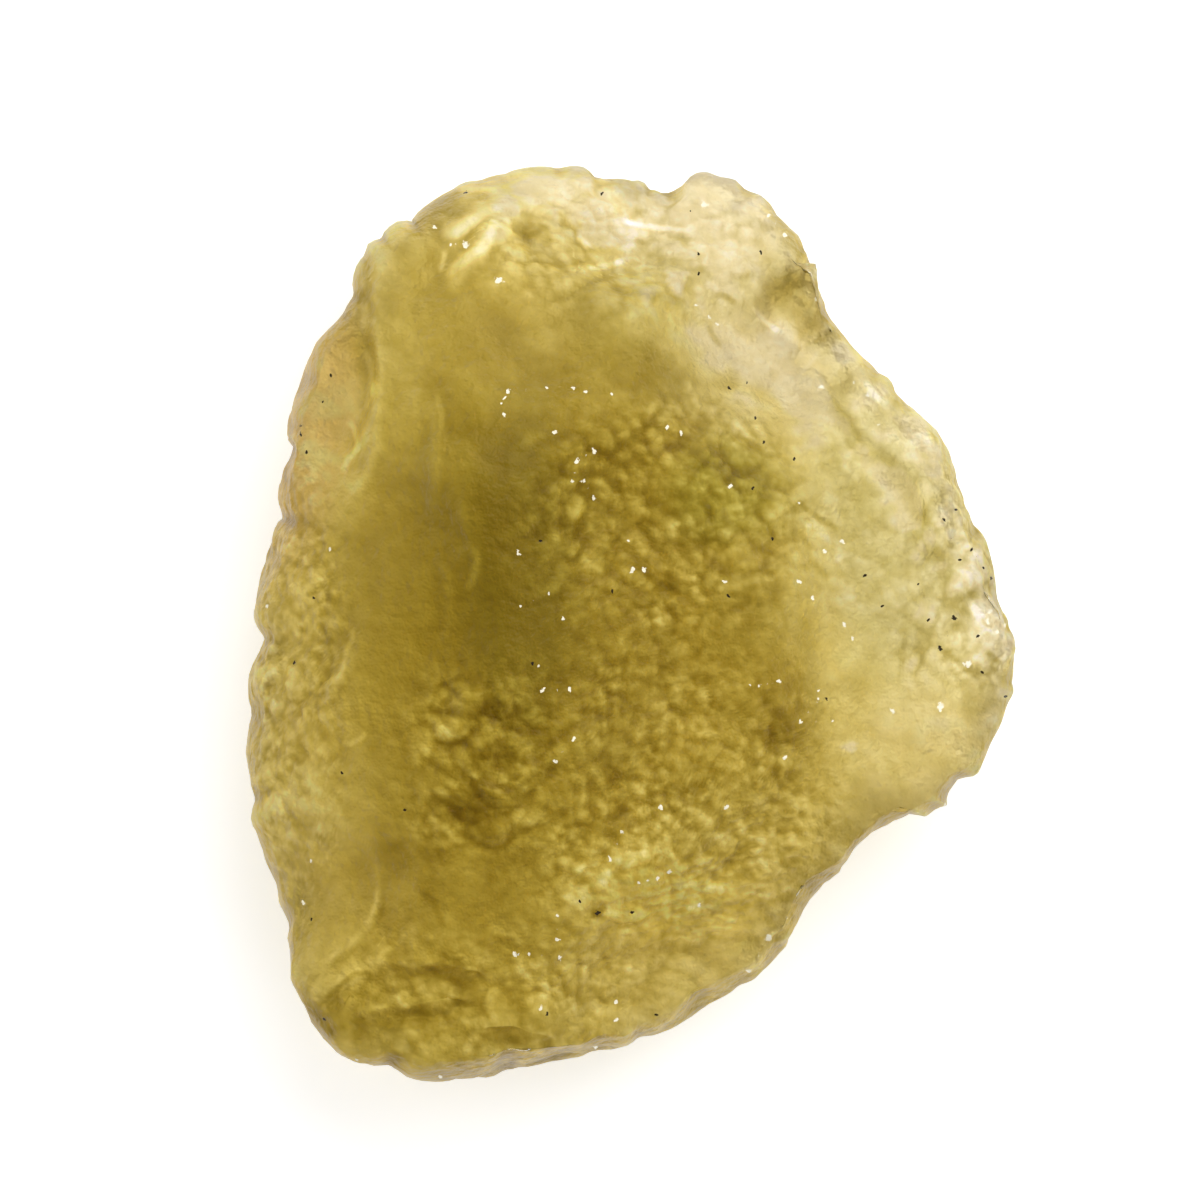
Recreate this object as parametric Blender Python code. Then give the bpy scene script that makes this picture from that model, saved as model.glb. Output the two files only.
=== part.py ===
"""Libyan desert glass: a natural, wind-worn lump of clear yellow glass, in one piece.

The stone lies on the small flat spot of its belly.  +X is its width, +Y its length and
+Z points away from the surface that it lies on.  The origin is on that surface, under
the middle of the stone.  Every length below is in millimetres, every angle in degrees.
"""

import math

import bmesh
import bpy
import numpy as np
from mathutils import Vector, noise

NAME = "libyan_desert_glass"
MILLIMETRE = 0.001

# Shape and finish of the mesh
CELLS = 62                 # cells along each edge of the cube that the ball is made from
TRIANGLES = 9400           # triangles left once the flat areas are thinned out
CENTRE_CROWDING = 1.12     # above 1, the cells crowd towards the middle of the stone

# The stone seen from above: points where its rim turns, clockwise from the upper left
MIDDLE = (-1.5, 0.0)
OUTLINE = (
    (-10.5, 20.6), (-9.5, 21.2), (-8.5, 21.9), (-7.5, 22.1), (-6.5, 22.4), (-5.4, 22.7),
    (-4.6, 22.8), (-3.7, 22.7), (-2.9, 22.9), (-2.3, 22.8), (-1.7, 22.2), (-0.2, 22.1),
    (0.5, 22.1), (1.0, 21.6), (1.8, 21.4), (2.5, 21.7), (3.2, 22.4), (4.1, 22.4), (5.2, 22.1),
    (5.9, 21.5), (6.5, 21.4), (7.4, 20.3), (8.5, 19.1), (9.2, 17.9), (9.5, 16.6), (9.9, 15.3),
    (10.7, 14.2), (11.3, 13.5), (12.4, 12.4), (13.0, 12.0), (13.4, 11.2), (14.2, 10.5),
    (15.3, 9.5), (15.9, 8.5), (16.3, 7.3), (16.7, 6.0), (17.1, 5.0), (17.8, 4.0), (18.2, 2.4),
    (18.3, 1.5), (19.0, -0.3), (19.3, -1.9), (19.1, -3.0), (19.2, -3.6), (18.9, -4.1),
    (18.6, -5.0), (18.0, -6.2), (17.5, -7.5), (17.0, -7.9), (16.4, -8.0), (15.9, -8.7),
    (15.8, -9.3), (15.2, -9.5), (14.4, -10.0), (13.8, -9.8), (12.9, -10.2), (11.8, -10.8),
    (11.0, -11.6), (10.5, -12.5), (9.6, -13.3), (8.9, -14.1), (8.4, -15.0), (7.9, -16.2),
    (7.2, -17.0), (6.5, -17.8), (5.5, -18.4), (3.8, -19.4), (2.6, -20.2), (1.5, -20.7),
    (0.5, -20.9), (-0.3, -21.4), (-1.3, -21.5), (-1.9, -21.7), (-3.6, -22.0), (-5.0, -22.3),
    (-6.5, -22.6), (-6.9, -22.8), (-8.5, -22.9), (-9.9, -23.0), (-11.0, -22.8), (-11.4, -22.5),
    (-11.9, -22.1), (-13.0, -22.1), (-14.4, -21.7), (-15.0, -21.1), (-16.0, -19.8),
    (-16.0, -19.4), (-16.5, -18.6), (-16.9, -17.9), (-16.9, -16.9), (-17.1, -15.8),
    (-17.0, -15.5), (-17.6, -14.2), (-17.7, -13.4), (-18.1, -12.4), (-18.4, -11.4),
    (-18.7, -10.5), (-18.9, -10.2), (-18.8, -9.2), (-18.9, -8.2), (-19.2, -6.4), (-19.0, -4.8),
    (-19.1, -3.1), (-18.8, -2.1), (-18.3, -1.0), (-18.8, 0.1), (-18.7, 1.1), (-18.4, 2.6),
    (-18.1, 3.5), (-17.7, 4.8), (-17.5, 5.0), (-17.6, 6.0), (-17.5, 6.9), (-17.2, 7.7),
    (-16.9, 8.3), (-17.2, 8.8), (-17.1, 9.6), (-17.0, 10.4), (-16.5, 11.8), (-16.0, 13.2),
    (-15.3, 14.2), (-14.4, 15.1), (-14.0, 15.8), (-13.8, 16.9), (-13.9, 17.4), (-13.7, 17.9),
    (-13.2, 18.4), (-13.0, 18.9), (-12.4, 19.2), (-12.2, 19.6), (-11.8, 20.0), (-10.9, 20.0),
)
SCALLOP_WIDTH = 2.6        # the rim's small scallops, narrower than this, fade inwards
SCALLOP_FADE = 14          # how quickly they fade
EDGE_ROUNDING = 1.0        # how far in from the rim the upper side's rounded edge reaches
UNDERCUT = 6.5             # how far in from the rim the underside's rounded edge reaches
LEAST_EDGE = 2.4           # thickness of the stone at its thinnest rim
LEAST_EDGE_BLEND = 0.4     # how softly the upper side turns into that
RIM_PLACE = 0.62           # where the rim lies in the edge's thickness, from 0 below to 1 above
RIM_WANDER = 0.25          # how far the rim wanders up and down from that place
RIM_SLOTS = 150            # directions in which the skin is fitted to the outline

# Facets of the upper side: a point on each (x, y), its height there, the way that the
# facet falls, and how much it falls per millimetre
TOP_FACETS = (
    (-6.0, 0.0, 17.6, 180, 0.76),      # smooth left flank
    (-6.0, 0.0, 17.6, 0, 0.22),        # pitted back, right of the crest
    (0.0, 12.5, 13.6, 84, 0.90),       # upper end
    (-9.0, 15.0, 11.4, 128, 0.55),     # upper left corner
    (6.0, 11.5, 10.4, 42, 0.36),       # upper right shoulder
    (9.0, 0.0, 10.4, 5, 0.34),         # right flank
    (8.0, -9.0, 10.8, -38, 0.34),      # lower right flank
    (-9.0, -15.0, 13.0, -58, 0.25),    # lower end
    (-11.0, -12.0, 12.4, -170, 0.48),  # lower left corner
)
FACET_BLEND = 0.45         # how softly one facet turns into the next

# Broad hollows of the upper side: middle, half sizes, depth
HOLLOWS = (
    (0.2, -1.5, 6.8, 12.5, 1.7),       # between the crest and the scarp
    (6.6, 12.4, 7.2, 6.6, 3.0),        # upper right, below the scarp
    (-4.5, 13.6, 5.0, 4.5, 1.8),       # foot of the upper end
    (3.6, -18.4, 10.0, 8.2, 2.3),      # lower end, open to the rim
)

# Ledges of the upper side: how far the stone drops over each, half the width of its steep
# face, how far away the drop has levelled out again, and its line.  The stone is lower
# on the right of the line.
LEDGES = (
    (1.0, 0.3, 3.2, ((-12.4, 18.9), (-13.0, 16.2), (-13.0, 14.9), (-12.8, 11.8), (-12.9, 11.0),
                     (-13.7, 8.5), (-14.0, 7.5))),
    (0.5, 0.4, 2.2, ((-13.2, 1.2), (-13.7, -1.2), (-14.3, -3.1), (-16.3, -5.1), (-16.8, -6.5))),
    (1.5, 1.6, 6.0, ((8.8, -9.5), (8.5, -5.0), (8.7, -1.0), (8.5, 3.0), (8.0, 6.0), (6.3, 9.8),
                     (4.9, 11.5), (4.0, 14.2))),
    (0.7, 0.4, 2.6, ((15.8, 2.5), (15.1, 3.8), (14.6, 5.1), (14.3, 6.6), (13.2, 7.5),
                     (11.3, 8.9), (10.4, 10.2), (9.8, 11.3), (8.8, 13.4))),
    (0.5, 0.25, 1.2, ((-15.1, -18.8), (-14.3, -18.0), (-13.0, -17.4), (-12.4, -17.7))),
    (0.6, 0.3, 1.6, ((-13.3, -16.8), (-11.8, -17.1), (-9.9, -17.3), (-8.5, -17.6), (-6.8, -18.1))),
    (0.6, 0.3, 1.5, ((-14.2, -19.6), (-13.1, -19.4), (-11.5, -19.4), (-9.3, -19.3), (-8.0, -19.1))),
    (0.4, 0.25, 1.2, ((-7.6, -20.6), (-5.5, -20.7), (-3.3, -20.8))),
    (0.4, 0.25, 1.0, ((-15.9, -18.5), (-15.2, -18.9), (-14.7, -19.6), (-14.0, -20.6))),
)

# Shell-shaped scars in the lower left corner: middle, radius, depth
SCARS = (
    (-16.3, -13.0, 3.9, 0.75),
    (-15.4, -13.2, 4.9, 0.40),
    (-13.9, -14.0, 4.9, 0.35),
)

# Flutes of the upper end, like the ribs of a feather: height, half width and line
FLUTES = (
    (0.45, 0.55, ((-9.5, 16.3), (-8.0, 17.9), (-6.8, 19.4), (-6.3, 20.5), (-6.0, 21.4))),
    (0.35, 0.45, ((-9.7, 19.3), (-8.2, 19.9), (-6.8, 20.7), (-6.1, 21.3))),
)

# The belly: how far its lowest part and its foot reach from its middle, by direction
BELLY_MIDDLE = (-3.0, -1.0)
BELLY_REACH = (
    (0, 5.0, 18.5),
    (45, 5.5, 19.0),
    (90, 6.0, 21.5),
    (135, 5.5, 18.5),
    (180, 5.0, 16.5),
    (225, 5.5, 19.5),
    (270, 6.0, 20.5),
    (315, 5.5, 16.0),
)
BELLY_BULGE = 0.45         # how much higher the edge of its lowest part is than the middle
BELLY_CALM = (3.0, 8.0, 0.8)    # the lumps fade between these reaches, by this share, inwards
FLAT_DEPTH = 0.30          # what the flat spot takes off the lowest point of the belly
BRIM_HEIGHT = 2.1          # height of the underside outside the belly, in the middle
BRIM_TILT = (0.035, 0.035)    # how much higher it gets per millimetre along X and Y

# Zones of rounded lumps: middle, half sizes, lump size, lump height
LUMP_ZONES = (
    (-7.0, -7.0, 3.8, 4.6, 1.7, 0.62),     # coarse lumps below the crest
    (1.5, 4.5, 7.0, 6.2, 1.35, 0.42),      # middle of the back
    (1.5, -7.5, 7.6, 7.0, 1.15, 0.28),     # finely pitted lower back
    (-0.5, 19.0, 8.0, 4.0, 1.5, 0.32),     # upper end
    (15.8, 2.5, 4.0, 7.5, 1.6, 0.34),      # right rim
    (-16.6, -4.0, 2.2, 4.5, 1.0, 0.30),    # left rim
    (-10.0, -19.5, 6.5, 3.0, 1.6, 0.30),   # lower left ledges
    (2.5, -17.5, 8.0, 4.0, 1.8, 0.22),     # lower end
)
UNDERSIDE_LUMP = (2.3, 0.55)    # size and height of the lumps under the stone
LUMP_BEND = 0.75           # how far the lumps are bent out of even cells, in their own sizes
SWELLS = ((9.0, 1.1), (4.0, 0.45))    # size and height of the broad swells all over it

COLOUR = (0.56, 0.43, 0.10, 1.0)
ROUGHNESS = 0.32
REFRACTIVE_INDEX = 1.46
TRANSMISSION = 0.7         # the share of light that goes into the glass instead of its skin


def smooth_step(low, high, value):
    """0 below low, 1 above high, and an even turn between them."""
    share = np.clip((value - low) / (high - low), 0.0, 1.0)
    return share * share * (3.0 - 2.0 * share)


def closed_curve(angles, values, wanted):
    """The values of a closed smooth curve that never swings past its own points."""
    order = np.argsort(angles)
    turn = 2.0 * math.pi
    angle = angles[order]
    value = values[order]
    angle = np.concatenate((angle[-2:] - turn, angle, angle[:2] + turn))
    value = np.concatenate((value[-2:], value, value[:2]))
    run = np.diff(angle)
    rise = np.diff(value) / run
    product = rise[:-1] * rise[1:]
    inner = np.where(product > 0.0, 2.0 * product / (rise[:-1] + rise[1:] + 1e-12), 0.0)
    slope = np.concatenate(([0.0], inner, [0.0]))
    wanted = np.mod(wanted - angle[1], turn) + angle[1]
    place = np.clip(np.searchsorted(angle, wanted) - 1, 0, len(run) - 1)
    share = (wanted - angle[place]) / run[place]
    rest = 1.0 - share
    return (
        value[place] * (1.0 + 2.0 * share) * rest**2
        + slope[place] * run[place] * share * rest**2
        + value[place + 1] * share**2 * (3.0 - 2.0 * share)
        - slope[place + 1] * run[place] * share**2 * rest
    )


def rim_distance(angle):
    """How far the rim is from the middle of the stone in each direction."""
    points = np.array(OUTLINE) - np.array(MIDDLE)
    angles = np.arctan2(points[:, 1], points[:, 0])
    return closed_curve(angles, np.hypot(points[:, 0], points[:, 1]), angle)


def distance_to_line(x, y, line):
    """Distance to a line of points, above 0 on its right, and the place along it, 0 to 1."""
    nearest = np.full(x.shape, np.inf)
    signed = np.zeros(x.shape)
    along = np.zeros(x.shape)
    starts = np.array(line[:-1])
    steps = np.diff(np.array(line), axis=0)
    lengths = np.hypot(steps[:, 0], steps[:, 1])
    passed = 0.0
    for start, step, length in zip(starts, steps, lengths):
        dx = x - start[0]
        dy = y - start[1]
        share = np.clip((dx * step[0] + dy * step[1]) / length**2, 0.0, 1.0)
        distance = np.hypot(dx - share * step[0], dy - share * step[1])
        side = np.where(dx * step[1] - dy * step[0] > 0.0, 1.0, -1.0)
        closer = distance < nearest
        nearest = np.where(closer, distance, nearest)
        signed = np.where(closer, side * distance, signed)
        along = np.where(closer, (passed + share * length) / lengths.sum(), along)
        passed += length
    return signed, along


def ledge(x, y, drop, half_width, reach, line):
    """A step over a line that levels out on both sides and towards the line's ends."""
    signed, along = distance_to_line(x, y, line)
    step = np.tanh(signed / half_width) * np.exp(-np.abs(signed) / reach)
    ends = smooth_step(0.0, 0.15, along) * smooth_step(0.0, 0.15, 1.0 - along)
    return -0.5 * drop * step * ends


def flute(x, y, height, half_width, line):
    """A rounded rib along a line, fading at its ends."""
    signed, along = distance_to_line(x, y, line)
    ends = smooth_step(0.0, 0.2, along) * smooth_step(0.0, 0.2, 1.0 - along)
    return height * np.exp(-((signed / half_width) ** 2)) * ends


def oval(x, y, centre_x, centre_y, half_x, half_y):
    """1 inside an upright oval, turning to 0 across its edge."""
    distance = np.hypot((x - centre_x) / half_x, (y - centre_y) / half_y)
    return 1.0 - smooth_step(0.7, 1.15, distance)


def upper_height(x, y):
    """Height of the upper side before its lumps: facets, hollows, ledges, scars, flutes."""
    total = np.zeros(x.shape)
    for point_x, point_y, height, falls_to, slope in TOP_FACETS:
        way = math.radians(falls_to)
        fall = slope * (math.cos(way) * (x - point_x) + math.sin(way) * (y - point_y))
        total += np.exp(-(height - fall) / FACET_BLEND)
    ground = -FACET_BLEND * np.log(total)
    for centre_x, centre_y, half_x, half_y, depth in HOLLOWS:
        distance = np.hypot((x - centre_x) / half_x, (y - centre_y) / half_y)
        ground -= depth * (1.0 - smooth_step(0.15, 1.0, distance))
    for drop, half_width, reach, line in LEDGES:
        ground += ledge(x, y, drop, half_width, reach, line)
    for height, half_width, line in FLUTES:
        ground += flute(x, y, height, half_width, line)
    for scar_x, scar_y, radius, depth in SCARS:
        distance = np.hypot(x - scar_x, y - scar_y) / radius
        ground -= depth * np.clip(1.0 - distance**2, 0.0, 1.0)
    return ground


def lower_height(x, y):
    """Height of the underside before its lumps: a belly in the middle of a raised brim."""
    dx = x - BELLY_MIDDLE[0]
    dy = y - BELLY_MIDDLE[1]
    reach = np.array(BELLY_REACH)
    directions = np.radians(reach[:, 0])
    angle = np.arctan2(dy, dx)
    lowest = closed_curve(directions, reach[:, 1], angle)
    foot = closed_curve(directions, reach[:, 2], angle)
    distance = np.hypot(dx, dy)
    brim = BRIM_HEIGHT + BRIM_TILT[0] * x + BRIM_TILT[1] * y
    bulge = BELLY_BULGE * np.clip(distance / lowest, 0.0, 1.0) ** 2
    return bulge + (brim - bulge) * smooth_step(lowest, foot, distance)


def grid_ball(cells):
    """A unit ball made from a cube's gridded faces, so that its cells are about equal."""
    ball = bmesh.new()
    bmesh.ops.create_cube(ball, size=2.0)
    bmesh.ops.subdivide_edges(ball, edges=ball.edges[:], cuts=cells - 1, use_grid_fill=True)
    for vertex in ball.verts:
        spread = [math.tan(part * math.pi / 4.0) for part in vertex.co]
        vertex.co = Vector(spread).normalized()
    return ball


def swell(points, size, seed):
    """Smooth noise from -1 to 1, one swell about as wide as size."""
    shift = Vector((seed * 7.3, seed * 3.1, seed * 5.7))
    return np.array([noise.noise(Vector(point) / size + shift) for point in points])


def rounded(share):
    """How far a rounded edge has risen: 0 at the rim, 1 where the rounding ends."""
    return np.sqrt(1.0 - (1.0 - np.clip(share, 0.0, 1.0)) ** 2)


def stone_points(ball_points):
    """The points of the smooth stone for the points of a unit ball."""
    flat = np.clip(np.hypot(ball_points[:, 0], ball_points[:, 1]), 0.0, 1.0)
    angle = np.arctan2(ball_points[:, 1], ball_points[:, 0])
    way_x = np.cos(angle)
    way_y = np.sin(angle)
    reach = rim_distance(angle)
    turns = np.linspace(-0.5, 0.5, 9) * SCALLOP_WIDTH / reach.mean()
    plain_reach = np.mean([rim_distance(angle + turn) for turn in turns], axis=0)
    spread = flat**CENTRE_CROWDING
    distance = plain_reach * spread + (reach - plain_reach) * spread**SCALLOP_FADE
    x = MIDDLE[0] + distance * way_x
    y = MIDDLE[1] + distance * way_y

    rim_x = MIDDLE[0] + reach * way_x
    rim_y = MIDDLE[1] + reach * way_y
    rim_low = lower_height(rim_x, rim_y)
    rim_high = np.maximum(upper_height(rim_x, rim_y), rim_low + LEAST_EDGE)
    wander = RIM_WANDER * swell(np.column_stack((rim_x, rim_y, 0.0 * rim_x)), 7.0, 3)
    rim = rim_low + (RIM_PLACE + wander) * (rim_high - rim_low)
    inset = reach * (1.0 - spread)
    least = (1.0 - RIM_PLACE) * LEAST_EDGE
    spare = upper_height(x, y) - rim - least
    above = least + LEAST_EDGE_BLEND * np.logaddexp(0.0, spare / LEAST_EDGE_BLEND)
    upper = rim + rounded(inset / EDGE_ROUNDING) * above
    lower = rim - rounded(inset / UNDERCUT) * (rim - lower_height(x, y))
    height = np.where(ball_points[:, 2] > 0.0, upper, lower)
    return np.column_stack((x, y, height))


def fit_to_outline(points):
    """Draws the skin in or out, so that the stone seen from above ends at its outline."""
    dx = points[:, 0] - MIDDLE[0]
    dy = points[:, 1] - MIDDLE[1]
    angle = np.arctan2(dy, dx)
    share = np.hypot(dx, dy) / rim_distance(angle)
    slots = ((angle / (2.0 * math.pi) + 0.5) * RIM_SLOTS).astype(int) % RIM_SLOTS
    widest = np.zeros(RIM_SLOTS)
    np.maximum.at(widest, slots, share)
    slot_angles = ((np.arange(RIM_SLOTS) + 0.5) / RIM_SLOTS - 0.5) * 2.0 * math.pi
    reached = np.interp(angle, slot_angles, widest, period=2.0 * math.pi)
    factor = 1.0 + (1.0 / reached - 1.0) * np.clip(share, 0.0, 1.0) ** 4
    points[:, 0] = MIDDLE[0] + dx * factor
    points[:, 1] = MIDDLE[1] + dy * factor


def bent_place(point, size, seed):
    """A place in noise of one size, bent to and fro so that no regular cells show."""
    place = Vector(point) / size + Vector((seed * 4.9, seed * 8.3, seed * 2.1))
    return place + LUMP_BEND * noise.noise_vector(place * 0.8)


def lumps(points, size, seed):
    """Rounded lumps of uneven size: 1 on a lump's top, 0 in the creases around it."""
    values = []
    for point in points:
        place = bent_place(point, size, seed)
        distances, _ = noise.voronoi(place)
        evenness = 0.6 + 0.8 * noise.noise(place * 0.6)
        values.append(0.5 + (max(0.0, 1.0 - distances[0] ** 2 * 1.6) - 0.5) * evenness)
    return np.array(values)


def relief(points, upward):
    """How far the skin stands out from the smooth stone, in millimetres."""
    x = points[:, 0]
    y = points[:, 1]
    top = smooth_step(-0.3, 0.3, upward)
    height = np.zeros(len(points))
    for seed, (size, amount) in enumerate(SWELLS, start=1):
        height += amount * swell(points, size, seed)
    for seed, (centre_x, centre_y, half_x, half_y, size, amount) in enumerate(LUMP_ZONES, start=5):
        share = oval(x, y, centre_x, centre_y, half_x, half_y) * top
        height += amount * share * (lumps(points, size, seed) - 0.5)
    size, amount = UNDERSIDE_LUMP
    height += amount * (1.0 - top) * (lumps(points, size, 2) - 0.5)
    inner, outer, calm = BELLY_CALM
    away = np.hypot(x - BELLY_MIDDLE[0], y - BELLY_MIDDLE[1])
    return height * (1.0 - calm * (1.0 - top) * (1.0 - smooth_step(inner, outer, away)))


def shape_stone():
    """The stone's mesh in metres, with its lumps pushed out along the surface's normals."""
    ball = grid_ball(CELLS)
    points = stone_points(np.array([vertex.co for vertex in ball.verts]))
    for vertex, point in zip(ball.verts, points):
        vertex.co = point
    ball.normal_update()
    normals = np.array([vertex.normal for vertex in ball.verts])
    points += normals * relief(points, normals[:, 2])[:, None]
    fit_to_outline(points)
    points[:, 2] = np.maximum(points[:, 2], FLAT_DEPTH) - FLAT_DEPTH
    for vertex, point in zip(ball.verts, points):
        vertex.co = point * MILLIMETRE
    bmesh.ops.triangulate(ball, faces=ball.faces[:])
    mesh = bpy.data.meshes.new(NAME)
    ball.to_mesh(mesh)
    ball.free()
    return mesh


def glass_material():
    """Clear yellow glass with a satin, wind-worn skin."""
    material = bpy.data.materials.new("desert_glass")
    material.use_nodes = True
    shader = material.node_tree.nodes["Principled BSDF"]
    shader.inputs["Base Color"].default_value = COLOUR
    shader.inputs["Roughness"].default_value = ROUGHNESS
    shader.inputs["Metallic"].default_value = 0.0
    shader.inputs["IOR"].default_value = REFRACTIVE_INDEX
    shader.inputs["Transmission Weight"].default_value = TRANSMISSION
    material.diffuse_color = COLOUR
    return material


def build():
    for old in list(bpy.data.objects):
        bpy.data.objects.remove(old, do_unlink=True)
    stone = bpy.data.objects.new(NAME, shape_stone())
    bpy.context.collection.objects.link(stone)
    stone.data.materials.append(glass_material())
    stone.data.shade_smooth()
    thin_out = stone.modifiers.new("thin out flat areas", "DECIMATE")
    thin_out.ratio = TRIANGLES / len(stone.data.polygons)


build()
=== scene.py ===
"""Libyan desert glass, seen from straight above on a white surface in soft light.

The stone is the part's own form on a finer mesh, with its etched pits, ridgelets, streaks,
mottling, bright chip marks that stand partly for painted glints, specks of dirt, and painted light
and shade on its crests, creases and knobs.  Lengths are in millimetres unless a comment says
otherwise.
"""

import math

import bmesh
import bpy
import numpy as np
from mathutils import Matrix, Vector, noise


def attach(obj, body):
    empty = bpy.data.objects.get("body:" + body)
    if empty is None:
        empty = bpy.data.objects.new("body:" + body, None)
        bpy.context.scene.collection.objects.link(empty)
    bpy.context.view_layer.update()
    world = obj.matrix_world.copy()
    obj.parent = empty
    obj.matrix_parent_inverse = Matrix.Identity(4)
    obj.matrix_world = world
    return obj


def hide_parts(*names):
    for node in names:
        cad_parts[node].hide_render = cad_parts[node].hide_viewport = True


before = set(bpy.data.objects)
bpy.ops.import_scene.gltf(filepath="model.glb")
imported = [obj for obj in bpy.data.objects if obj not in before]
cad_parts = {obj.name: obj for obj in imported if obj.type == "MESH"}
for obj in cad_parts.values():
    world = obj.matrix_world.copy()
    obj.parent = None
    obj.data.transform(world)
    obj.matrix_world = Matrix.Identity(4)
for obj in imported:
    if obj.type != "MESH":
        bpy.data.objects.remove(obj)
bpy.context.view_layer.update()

MILLIMETRE = 0.001
CELLS = 126  # cells along each edge of the cube that the fine ball is made from
TOP_SHARE = 106.0  # degrees of the ball, from its top, that become the upper side
CENTRE_CROWDING = 1.12  # above 1, the cells crowd towards the middle of the stone

# The stone seen from above: points where its rim turns, clockwise from the upper left
MIDDLE = (-1.5, 0.0)
OUTLINE = (
    (-10.5, 20.6), (-9.5, 21.2), (-8.5, 21.9), (-7.5, 22.1), (-6.5, 22.4), (-5.4, 22.7),
    (-4.6, 22.8), (-3.7, 22.7), (-2.9, 22.9), (-2.3, 22.8), (-1.7, 22.2), (-0.2, 22.1), (0.5, 22.1),
    (1, 21.6), (1.8, 21.4), (2.5, 21.7), (3.2, 22.4), (4.1, 22.4), (5.2, 22.1), (5.9, 21.5),
    (6.5, 21.4), (7.4, 20.3), (8.5, 19.1), (9.2, 17.9), (9.5, 16.6), (9.9, 15.3), (10.7, 14.2),
    (11.3, 13.5), (12.4, 12.4), (13, 12), (13.4, 11.2), (14.2, 10.5), (15.3, 9.5), (15.9, 8.5),
    (16.3, 7.3), (16.7, 6), (17.1, 5), (17.8, 4), (18.2, 2.4), (18.3, 1.5), (19, -0.3),
    (19.3, -1.9), (19.1, -3), (19.2, -3.6), (18.9, -4.1), (18.6, -5), (18, -6.2), (17.5, -7.5),
    (17, -7.9), (16.4, -8), (15.9, -8.7), (15.8, -9.3), (15.2, -9.5), (14.4, -10), (13.8, -9.8),
    (12.9, -10.2), (11.8, -10.8), (11, -11.6), (10.5, -12.5), (9.6, -13.3), (8.9, -14.1),
    (8.4, -15), (7.9, -16.2), (7.2, -17), (6.5, -17.8), (5.5, -18.4), (3.8, -19.4), (2.6, -20.2),
    (1.5, -20.7), (0.5, -20.9), (-0.3, -21.4), (-1.3, -21.5), (-1.9, -21.7), (-3.6, -22),
    (-5, -22.3), (-6.5, -22.6), (-6.9, -22.8), (-8.5, -22.9), (-9.9, -23), (-11, -22.8),
    (-11.4, -22.5), (-11.9, -22.1), (-13, -22.1), (-14.4, -21.7), (-15, -21.1), (-16, -19.8),
    (-16, -19.4), (-16.5, -18.6), (-16.9, -17.9), (-16.9, -16.9), (-17.1, -15.8), (-17, -15.5),
    (-17.6, -14.2), (-17.7, -13.4), (-18.1, -12.4), (-18.4, -11.4), (-18.7, -10.5), (-18.9, -10.2),
    (-18.8, -9.2), (-18.9, -8.2), (-19.2, -6.4), (-19, -4.8), (-19.1, -3.1), (-18.8, -2.1),
    (-18.3, -1), (-18.8, 0.1), (-18.7, 1.1), (-18.4, 2.6), (-18.1, 3.5), (-17.7, 4.8), (-17.5, 5),
    (-17.6, 6), (-17.5, 6.9), (-17.2, 7.7), (-16.9, 8.3), (-17.2, 8.8), (-17.1, 9.6), (-17, 10.4),
    (-16.5, 11.8), (-16, 13.2), (-15.3, 14.2), (-14.4, 15.1), (-14, 15.8), (-13.8, 16.9),
    (-13.9, 17.4), (-13.7, 17.9), (-13.2, 18.4), (-13, 18.9), (-12.4, 19.2), (-12.2, 19.6),
    (-11.8, 20), (-10.9, 20),
)
SCALLOP_WIDTH = 2.6  # the rim's small scallops, narrower than this, fade inwards
SCALLOP_FADE = 14  # how quickly they fade
EDGE_ROUNDING = 1.0  # how far in from the rim the upper side's rounded edge reaches
UNDERCUT = 6.5  # how far in from the rim the underside's rounded edge reaches
LEAST_EDGE = 2.4  # thickness of the stone at its thinnest rim
LEAST_EDGE_BLEND = 0.4  # how softly the upper side turns into that
RIM_PLACE = 0.62  # where the rim lies in the edge's thickness, from 0 below to 1 above
RIM_WANDER = 0.25  # how far the rim wanders up and down from that place
RIM_WAVE = 7.0  # width of one such wave
RIM_SLOTS = 150  # directions in which the skin is fitted to the outline

# Facets of the upper side: a point on each (x, y), its height there, the way that the
# facet falls, and how much it falls per millimetre
TOP_FACETS = (
    (-6.0, 0.0, 17.6, 180, 0.76),  # smooth left flank
    (-6.0, 0.0, 17.6, 0, 0.22),  # pitted back, right of the crest
    (0.0, 12.5, 13.6, 84, 0.90),  # upper end
    (-9.0, 15.0, 11.4, 128, 0.55),  # upper left corner
    (6.0, 11.5, 10.4, 42, 0.36),  # upper right shoulder
    (9.0, 0.0, 10.4, 5, 0.34),  # right flank
    (8.0, -9.0, 10.8, -38, 0.34),  # lower right flank
    (-9.0, -15.0, 13.0, -58, 0.25),  # lower end
    (-11.0, -12.0, 12.4, -170, 0.48),  # lower left corner
)
FACET_BLEND = 0.45  # how softly one facet turns into the next
HOLLOW_EDGE = (0.15, 1.0)  # the shares of a hollow's half size between which it levels out

# Broad hollows of the upper side: middle, half sizes, depth
HOLLOWS = (
    (0.2, -1.5, 6.8, 12.5, 1.7),  # between the crest and the scarp
    (6.6, 12.4, 7.2, 6.6, 3.0),  # upper right, below the scarp
    (-4.5, 13.6, 5.0, 4.5, 1.8),  # foot of the upper end
    (3.6, -18.4, 10.0, 8.2, 2.3),  # lower end, open to the rim
)

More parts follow.
